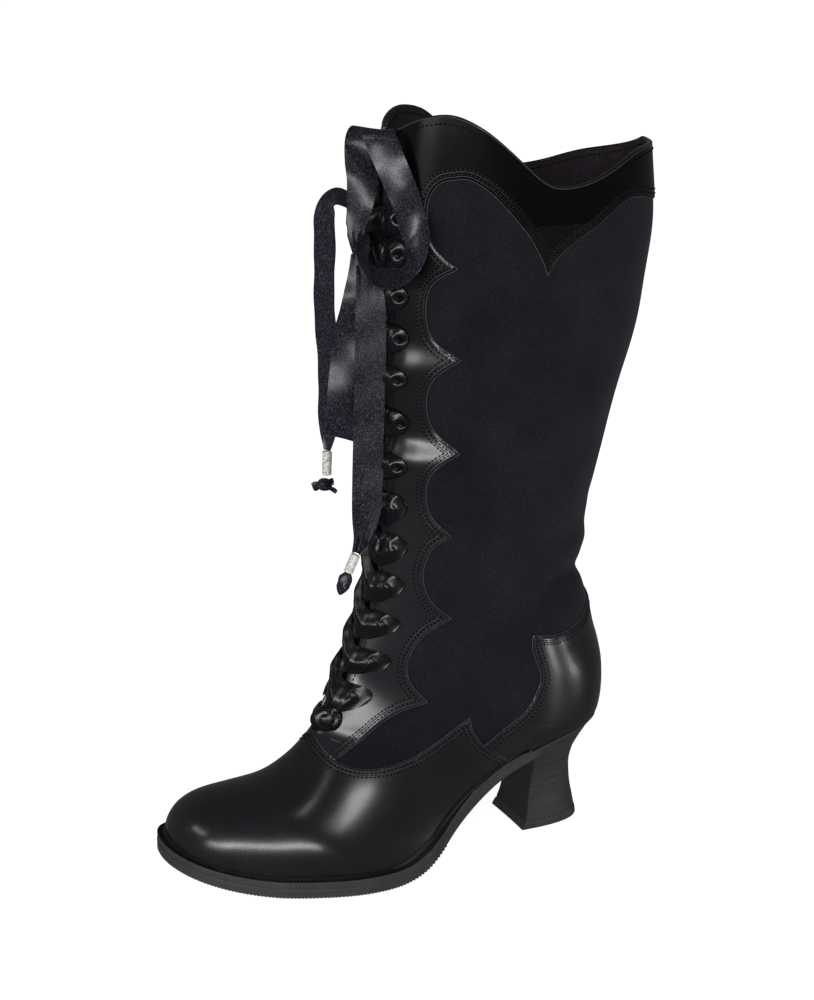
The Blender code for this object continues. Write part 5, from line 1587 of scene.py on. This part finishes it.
def lace_strip(side, i, end_s, end_x, top, climb, seed, n=60, m=25):
    """Ribbon that comes out of an eyelet, puffs over the facing and runs on over the throat."""
    gen = np.random.default_rng(seed)
    s1, x1 = EYES[i]
    outer, lower = side > 0, i >= 7
    hole, tip = x1 - HOLE_IN, x1 + TIP_OUT
    th = float(throat_half(np.array(s1)))
    x = tip - (tip - end_x) * np.linspace(0.0, 1.0, n) ** 1.2
    u = np.clip((x - th - 2.0) / (tip - th - 2.0), 0.0, 1.0)
    taper = (2.5, 0.52) if lower else (2.1, 0.54)
    half = np.maximum(0.5 * RIBBON_W * np.maximum(1.0 - u ** taper[0], 0.0) ** taper[1], 0.25)
    half = half * (1.0 + 0.08 * ease((th - x) / 4.0))
    drop = 3.8 if lower and outer else 1.2
    if lower and outer:
        half = half * (1.0 + 0.16 * ease((tip - x - 4.0) / 6.0))
    lean = ease((th + 1.5 - x) / (th + 1.5 - end_x))
    v = np.linspace(-1.0, 1.0, m)
    s = (s1 + drop * (1.0 - u) + (end_s - s1 - drop) * lean)[:, None] + half[:, None] * v
    X = np.broadcast_to(x[:, None], s.shape)
    over = ease((th + 2.0 - X) / 4.0)
    puff = gen.uniform(2.2, 2.7) if outer else 0.9
    turn = gen.uniform(-0.6, 0.6)
    rise = ease((tip - X) / 8.0)
    h = PANEL_T + 0.35 + puff * (1.0 - np.abs(v)[None] ** (1.7 if lower else 2.4)) * rise + (0.9 if top else 0.0) * over
    r = np.hypot(np.where(X < hole, (X - hole) / 1.6, (X - hole) / 2.3), (s - s1 - 0.4) / 2.0)
    if outer:
        ang = np.arctan2(s - s1, hole - X)
        inward = np.clip(np.cos(ang - 0.6 * turn), 0.0, 1.0)
        if not lower:
            h = h + gen.uniform(0.45, 0.7) * np.exp(-((r - 1.75) / 0.40) ** 2) * inward
        folds = np.cos(2.0 * math.pi * (0.85 * v[None] + 0.5 * turn))
        h = h + (0.24 if lower else 0.10) * folds * ease((tip - X - 2.5) / 4.0) * (1.0 - v[None] ** 2)
        h = h + 0.45 * np.exp(-((X - th - 0.4) / 0.9) ** 2) * (1.0 - v[None] ** 4)
        if lower:
            bent = tip - 5.4 - 0.28 * (s - s1) + 1.2 * np.tanh(0.8 * (s - s1 - 1.0))
            h = h + 0.8 * np.exp(-((X - bent) / 0.7) ** 2) * (1.0 - v[None] ** 2)
            h = h - 0.55 * ease((X - bent) / 2.6) * (1.0 - v[None] ** 2)
        else:
            pit = np.exp(-r ** 4)
            h = h * (1.0 - pit) + (PANEL_T + 0.15) * pit
    h = h + 0.07 * np.sin(0.8 * (s - s1) + 0.45 * X + 4.0 * turn) * ease((tip - X - 6.0) / 5.0)
    h = h + climb * ease((tip - X - 9.0) / (tip - end_x - 9.0))
    if top is not None:
        gone = ease((5.0 - th - X) / 6.5)
        h = h * (1.0 - gone) - 2.35 * gone
    round_ = np.arcsin(np.clip(np.abs(X) / column("half_lat", s), 0.0, 0.95))
    h = h + (relief(side, s, round_) + 0.45) * ease((X + 2.0) / 4.0)
    grid = front_point(s, side * X, h)
    nor = unit(np.cross(np.gradient(grid, axis=0), np.gradient(grid, axis=1)))
    body = sheet_body(grid, nor, 0.4)
    # faces in the pit of each upper outer tab get the near-black hole colour: painted shade where the ribbon goes into
    # the eyelet
    hole_shade_faces = (r < 0.92) & (outer and not lower)
    hole_shade_faces = hole_shade_faces[:-1, :-1] & hole_shade_faces[1:, :-1] & hole_shade_faces[:-1, 1:] & hole_shade_faces[1:, 1:]
    index = np.concatenate([hole_shade_faces.reshape(-1).astype(int), np.zeros(sum(len(q) for q in body[1]) - hole_shade_faces.size, int)])
    return body, index


def sheet_body(g, nn, thick):
    n, m = g.shape[:2]
    up, down = (g + nn * thick / 2).reshape(-1, 3), (g - nn * thick / 2).reshape(-1, 3)
    k = n * m
    f = [quads(n, m, 0), quads(n, m, k, True)]
    e = np.arange(m - 1)
    f.append(np.stack([e, e + 1, k + e + 1, k + e], -1)[:, ::-1])
    b = (n - 1) * m
    f.append(np.stack([b + e, b + e + 1, k + b + e + 1, k + b + e], -1))
    e = np.arange(n - 1) * m
    f.append(np.stack([e, e + m, k + e + m, k + e], -1))
    e = e + m - 1
    f.append(np.stack([e, e + m, k + e + m, k + e], -1)[:, ::-1])
    return np.concatenate([up, down]), f


def lace_bottom(rings=46, around=72):
    """Ball of gathered ribbon over the throat's lower end, with its turn curled into the face."""
    mid = front_point(np.array([EYES[-1, 0] - 1.4]), np.array([7.2]), np.array([2.2]))[0]
    out = unit(np.array([0.86, -0.44, 0.26]))
    f = unit(np.cross((0.0, 0.0, 1.0), out))
    z = np.cross(out, f)
    LA, LO = np.meshgrid(np.linspace(0.0, math.pi, rings), 2 * math.pi * np.arange(around) / around, indexing="ij")
    turn = (LO - 1.1) % (2 * math.pi) / (2 * math.pi)
    shown = np.clip(np.minimum(turn, 1.0 - turn) / 0.10, 0.0, 1.0)
    r = 1.0 + 0.05 * np.sin(2 * LO + 0.6) * np.sin(LA) ** 2 + 0.035 * np.sin(3 * LO - 2.0) * np.sin(LA) ** 2
    r = r - 0.10 * shown * np.exp(-((LA - 0.34 - 0.50 * turn) / 0.15) ** 2)
    r = r - 0.13 * np.exp(-((np.sin(LA) * np.cos(LO - 5.9) - 0.60) / 0.09) ** 2) * np.clip(np.cos(LA) + 0.5, 0.0, 1.0)
    P = (mid + (8.4 * r * np.sin(LA) * np.cos(LO))[..., None] * f + (7.6 * r * np.sin(LA) * np.sin(LO))[..., None] * z
         + (5.4 * r * np.cos(LA))[..., None] * out)
    faces = quads(rings, around, wrap=True)
    return (P.reshape(-1, 3), [faces]), np.zeros(len(faces), int)


def lacing():
    made = [lace_bottom(), lace_strip(-1.0, len(EYES) - 1, EYES[-1, 0] + 1.5, 0.0, None, 0.0, 39)]
    for side in (-1.0, 1.0):
        made.append(lace_strip(side, 0, 47.0, KNOT_ROW[0] * side, None, 5.5, 40 + (side > 0)))
    for i in range(1, len(EYES) - 1):
        far = -float(throat_half(np.array(EYES[i, 0]))) - 3.0
        for side, top in ((-1.0, False), (1.0, True)):
            made.append(lace_strip(side, i, EYES[i - 1, 0], far, top, 0.0, 50 + 2 * i + (side > 0)))
    v, f = joined([q[0] for q in made])
    ob = mesh_piece("ribbon_lacing", v, f, [SHADED_LACE, HOLE_SHADE], index=np.concatenate([q[1] for q in made]), sharp=60.0)
    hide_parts("lace_crossings")


lacing()


# ------------------------------------------------------------------ sole, welt, heel
def outline(extra, count=181, start=None):
    s0 = S_OF["seat_back"] if start is None else start
    u = (1.0 - np.cos(np.linspace(0.0, math.pi, count))) / 2.0
    s = s0 + (S_END - s0) * u
    loop = np.concatenate([feather("lat", s)[:, :2], feather("med", s)[::-1][1:-1, :2]])
    tan = unit(np.roll(loop, -1, 0) - np.roll(loop, 1, 0))
    nor = np.stack([-tan[:, 1], tan[:, 0]], -1)
    if np.sum((loop - loop.mean(0)) * nor) < 0:
        nor = -nor
    for _ in range(8):
        nor = unit(nor * 2 + np.roll(nor, 1, 0) + np.roll(nor, -1, 0))
    out = loop + nor * np.asarray(extra(loop[:, 1]))[:, None]
    lat = out[:count]
    med = np.concatenate([out[:1], out[count:][::-1], out[count - 1:count]])
    return lat, med


def sole_top(y):
    return sole("feather_z", y) - GAP


def sole_bottom(y):
    return sole_top(y) - sole("sole_t", y)


def outsole():
    lat, med = outline(lambda y: sole("rim", y))
    mid = 0.5 * (lat + med)

    def pulled(p, d):
        v = mid - p
        r = np.linalg.norm(v, axis=1)
        return p + v * np.where(r > 1e-6, np.minimum(d / np.maximum(r, 1e-6), 0.6), 0.0)[:, None]

    def ring(p, share, inset, drop):
        q = pulled(p, inset + 2.8 * (1.0 - share) * ease((p[:, 1] - 2.0) / 16.0))
        zt, zb = sole_top(p[:, 1]), sole_bottom(p[:, 1])
        return np.column_stack([q, zb + (zt - zb) * share + drop])

    profile = [(1.0, 6.0, 0.0), (1.0, 0.7, 0.0), (1.0, 0.25, -0.12), (1.0, 0.0, -0.5), (0.6, 0.10, 0.0), (0.3, 0.10, 0.0),
               (0.0, 0.0, 1.1), (0.0, 0.35, 0.55), (0.0, 1.0, 0.1), (0.0, 6.0, 0.0)]
    rows = [ring(lat, *p) for p in profile] + [ring(med, *p) for p in profile[::-1]]
    n, m = len(lat), len(rows)
    pts = np.stack(rows, 1).reshape(-1, 3)
    pts, faces, _, _ = welded(pts, [quads(n, m, wrap=True, flip=True)], 0.004)
    seat = np.concatenate([(pts[g][:, :, 1].mean(1) > 1.0).astype(int) for g in faces])
    ob = mesh_piece("sole_unit", pts, faces, [RUBBER, STACKED], index=seat, sharp=40.0)
    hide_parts("outsole")
    # tread: fine teeth round the lower edge of the forefoot
    path = np.concatenate([lat, med[::-1][1:]])
    inner = np.concatenate([pulled(lat, 2.6), pulled(med, 2.6)[::-1][1:]])
    keep = path[:, 1] < -56.0
    path, inner = path[keep], inner[keep]
    at = np.concatenate([[0.0], np.cumsum(np.linalg.norm(np.diff(path, axis=0), axis=1))])
    q = np.arange(1.0, at[-1] - 1.0, 1.9)
    o = np.stack([np.interp(q, at, path[:, k]) for k in range(2)], -1)
    i = np.stack([np.interp(q, at, inner[:, k]) for k in range(2)], -1)
    t = np.stack([np.interp(q + 0.55, at, path[:, k]) for k in range(2)], -1) - o
    bodies = []
    for a, b, w in zip(o, i, t):
        out = unit(a - b)
        z = float(sole_bottom(a[1]))
        low = max(z, 0.0) + 0.02
        ring8 = []
        for p, zz in ((b, low), (a - out * 0.25, low), (a + out * 0.05, low + 0.55), (a - out * 0.1, low + 1.5), (b, low + 1.5)):
            ring8 += [(*(p - w), zz), (*(p + w), zz)]
        v = np.array(ring8)
        f4 = np.array([[0, 2, 3, 1], [2, 4, 5, 3], [4, 6, 7, 5], [6, 8, 9, 7], [8, 0, 1, 9]])
        f5 = np.array([[0, 8, 6], [0, 6, 4], [0, 4, 2], [1, 3, 5], [1, 5, 7], [1, 7, 9]])
        bodies.append((v, [f4, f5]))
    v, f = joined(bodies)
    mesh_piece("tread_teeth", v, f, RUBBER, sharp=30.0)


outsole()


def welt():
    """Ribbed welt: slopes from the sole's edge up against the upper, right back to the heel."""
    count = 241
    u = (1.0 - np.cos(np.linspace(0.0, math.pi, count))) / 2.0
    s = S_OF["seat_back"] + (S_END - S_OF["seat_back"]) * u

    def margin(extra):
        lat, med = outline(extra, count=count)
        return np.concatenate([lat, med[::-1][1:]])

    inner = margin(lambda y: np.minimum(1.0, sole("rim", y) - 0.8))
    outer = margin(lambda y: sole("rim", y) - 0.3)
    S = np.concatenate([s, s[::-1][1:]])
    sign = np.concatenate([np.ones(count), -np.ones(count - 1)])
    run = np.where(inner[:, 1] < -1.0)[0]
    inner, outer, S, sign = inner[run], outer[run], S[run], sign[run]
    zi = sole_top(inner[:, 1]) + GAP
    zo = sole_top(outer[:, 1]) + GAP
    back = np.linspace(0.0, 2.0, 81)
    ladder = end_angle(S)[:, None] - back
    rungs = raw_point(*np.broadcast_arrays(sign[:, None], S[:, None], ladder))
    climb = np.concatenate([np.zeros((len(S), 1)), np.cumsum(np.linalg.norm(np.diff(rungs, axis=1), axis=-1), 1)], 1)

    def lip(height, off):
        a = end_angle(S) - np.array([np.interp(height, c, back) for c in climb])
        return face(sign, S, a, off)[0]

    def at(share, rise):
        p = inner + (outer - inner) * share
        return np.column_stack([p, zi + (zo - zi) * share + rise])

    head, foot = lip(5.1, VAMP_T + 0.95), at(0.97, 3.0)
    rows = [at(0.0, 0.0), lip(5.8, VAMP_T * 0.3), lip(5.6, VAMP_T + 0.5), head, head * 0.68 + foot * 0.32, head * 0.34 + foot * 0.66,
            foot, at(1.0, 2.6), at(1.0, -GAP)]
    rows[4][:, 2] -= 0.12
    rows[5][:, 2] -= 0.15
    grid = np.stack(rows, 1)
    m = grid.shape[1]
    caps = np.array([[0, k, k + 1] for k in range(1, m - 1)])

    def strip(part):
        n = len(part)
        return part.reshape(-1, 3), [quads(n, m, wrap=True, flip=True), np.concatenate([caps, caps[:, ::-1] + (n - 1) * m])]

    low = np.where(inner[:, 1] < WELT_END_Y)[0]
    first, last = low[0], low[-1]
    outer_face = np.isin(np.arange(m), (6, 7)).astype(int)

    def shades(*parts):
        return np.concatenate([np.tile(outer_face, n - 1) for n in parts] + [np.zeros(2 * len(caps) * len(parts), int)])

    v, f = strip(grid[first:last + 1])
    ob = mesh_piece("welt_strip", v, f, [WELT, RUBBER], index=shades(last + 1 - first), sharp=45.0)
    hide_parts("welt")
    v, f = joined([strip(grid[:first + 1]), strip(grid[last:])])
    mesh_piece("welt_arch", v, f, [WELT, RUBBER], index=shades(first + 1, len(grid) - last), sharp=45.0)
    v, f = tube(spaced(foot + np.array([0.0, 0.0, 0.05]), 1.0), 0.26, 6)
    mesh_piece("welt_edge", v, f, EDGE)
    mid = spaced(0.5 * (head + foot), 1.9)
    top, bottom = spaced(head, 1.9), spaced(foot, 1.9)
    k = min(len(mid), len(top), len(bottom))
    pick = lambda q: q[np.round(np.linspace(0, len(q) - 1, k)).astype(int)]
    mid, top, bottom = pick(mid), pick(top), pick(bottom)
    slope = unit(bottom - top)
    tan = unit(np.gradient(mid, axis=0))
    up = unit(np.cross(tan, slope))
    up = np.where((up[:, 2] < 0)[:, None], -up, up)
    v, f = stitches([(mid + up * 0.02, slope, up)], 1.9)
    mesh_piece("welt_stitching", v, f, THREAD)


welt()


def heel_ring(front, back, half, count=73, breast_n=31):
    th = np.linspace(0.0, math.pi, count)
    x = half * np.sign(np.cos(th)) * np.abs(np.cos(th)) ** 0.75
    y = front + (back - front) * np.abs(np.sin(th)) ** 0.8
    b = np.linspace(-1.0, 1.0, breast_n)[1:-1]
    return np.concatenate([x, half * b]), np.concatenate([y, front + 0.4 * (1.0 - b ** 2)])


def heel():
    rows = np.array(HEEL_ROWS)
    z0 = TOP_PIECE_T + GAP
    rings = []
    layers = 13.0
    for share in np.linspace(0.0, 1.0, 118):
        front, back, half = (float(smooth(rows[:, 0], rows[:, k], share)) for k in (1, 2, 3))
        groove = 0.06 * math.exp(-((((share * layers) % 1.0) - 0.5) / 0.10) ** 2)
        x, y = heel_ring(front + groove, back - groove, half - groove)
        top = sole_bottom(y) - GAP * 0.5
        rings.append(np.column_stack([x, y, z0 + (top - z0) * share]))
    n = len(rings[0])
    pts = np.concatenate(rings)
    faces = [quads(len(rings), n, wrap=True)]
    mid0 = rings[0].mean(0)
    mid1 = rings[-1].mean(0)
    k = len(pts)
    e = np.arange(n)
    caps = np.concatenate([np.stack([np.full(n, k), (e + 1) % n, e], -1),
                           np.stack([np.full(n, k + 1), k - n + e, k - n + (e + 1) % n], -1)])
    # the front faces of the heel take the dimmed copy: painted shade
    breast_shade_faces = np.concatenate([np.tile((e >= 72).astype(int), len(rings) - 1), np.zeros(len(caps), int)])
    ob = mesh_piece("heel_stack", np.vstack([pts, mid0, mid1]), faces + [caps], [STACKED, SHADED_BREAST], index=breast_shade_faces, sharp=40.0)
    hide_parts("heel")
    rings = []
    table = [(0.0, 0.9, 39.1, 18.3), (0.25, 0.45, 39.6, 18.9), (0.9, 0.1, 39.95, 19.25), (2.6, 1.0, 39.75, 19.25), (4.3, 2.1, 39.5, 19.1), (4.75, 2.4, 39.2, 18.8), (5.25, 3.0, 38.6, 18.2)]
    for z, front, back, half in table:
        x, y = heel_ring(front, back, half)
        rings.append(np.column_stack([x, y, np.full_like(x, z)]))
    pts = np.concatenate(rings)
    k = len(pts)
    faces = [quads(len(rings), n, wrap=True)]
    caps = np.concatenate([np.stack([np.full(n, k), (e + 1) % n, e], -1),
                           np.stack([np.full(n, k + 1), k - n + e, k - n + (e + 1) % n], -1)])
    ob = mesh_piece("heel_top_lift", np.vstack([pts, rings[0].mean(0), rings[-1].mean(0)]), faces + [caps], RUBBER, sharp=40.0)
    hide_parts("heel_top_piece")


heel()

for slot_ in frame["nodes"]["insole"].material_slots:
    slot_.material = BOARD


# ------------------------------------------------------------------ floor and light
def floor():
    mesh = bpy.data.meshes.new("floor")
    g = 40.0
    mesh.from_pydata([(-g, -g, 0), (g, -g, 0), (g, g, 0), (-g, g, 0)], [], [(0, 1, 2, 3)])
    mesh.materials.append(FLOOR)
    ob = bpy.data.objects.new("floor", mesh)
    ob.location.z = -0.0004
    bpy.context.scene.collection.objects.link(ob)
    ob.visible_glossy = False


def lamp(name, place, target, size, power, tint=(1.0, 1.0, 1.0)):
    data = bpy.data.lights.new(name, 'AREA')
    data.shape = 'RECTANGLE'
    data.size, data.size_y = size
    data.energy = power
    data.color = tint
    ob = bpy.data.objects.new(name, data)
    ob.location = place
    ob.rotation_euler = (Vector(target) - Vector(place)).to_track_quat('-Z', 'Y').to_euler()
    bpy.context.scene.collection.objects.link(ob)


def world(strength):
    w = bpy.data.worlds.new("studio")
    bpy.context.scene.world = w
    w.use_nodes = True
    b = w.node_tree.nodes["Background"]
    b.inputs["Color"].default_value = (1.0, 1.0, 1.0, 1.0)
    b.inputs["Strength"].default_value = strength


def polar(name, az, el, dist, half_az, half_el, radiance, tint=(1.0, 1.0, 1.0)):
    """Soft box seen from the boot at an azimuth and a height in degrees, of given half sizes."""
    a, e = math.radians(az), math.radians(el)
    middle = np.array([0.0, 0.0, 0.15])
    place = middle + dist * np.array([math.sin(a) * math.cos(e), -math.cos(a) * math.cos(e), math.sin(e)])
    size = (2 * dist * math.tan(math.radians(half_az)), 2 * dist * math.tan(math.radians(half_el)))
    lamp(name, tuple(place), tuple(middle), size, radiance * math.pi * size[0] * size[1], tint)


floor()
world(0.10)
polar("camera_box", 54.0, 16.6, 3.0, 24.0, 4.6, 11.0, (0.97, 0.99, 1.0))
polar("left_box", 24.0, 12.0, 3.0, 9.0, 4.0, 8.5)
polar("right_box", 110.0, 43.0, 1.6, 4.5, 7.0, 12.0)
polar("front_box", -8.0, 22.0, 1.5, 11.0, 3.2, 4.2)
polar("top_box", 59.0, 69.0, 1.5, 2.6, 2.6, 6.0)
lamp("low_card", (0.212, 0.228, 0.034), (0.03, 0.10, 0.095), (0.022, 0.045), 0.050)
lamp("low_spot", (0.150, 0.285, 0.022), (0.03, 0.10, 0.095), (0.022, 0.024), 0.018)

bpy.context.scene.view_settings.view_transform = 'Standard'
bpy.context.scene.view_settings.look = 'None'
bpy.context.scene.view_settings.exposure = 0.0
bpy.context.scene.view_settings.gamma = 1.0
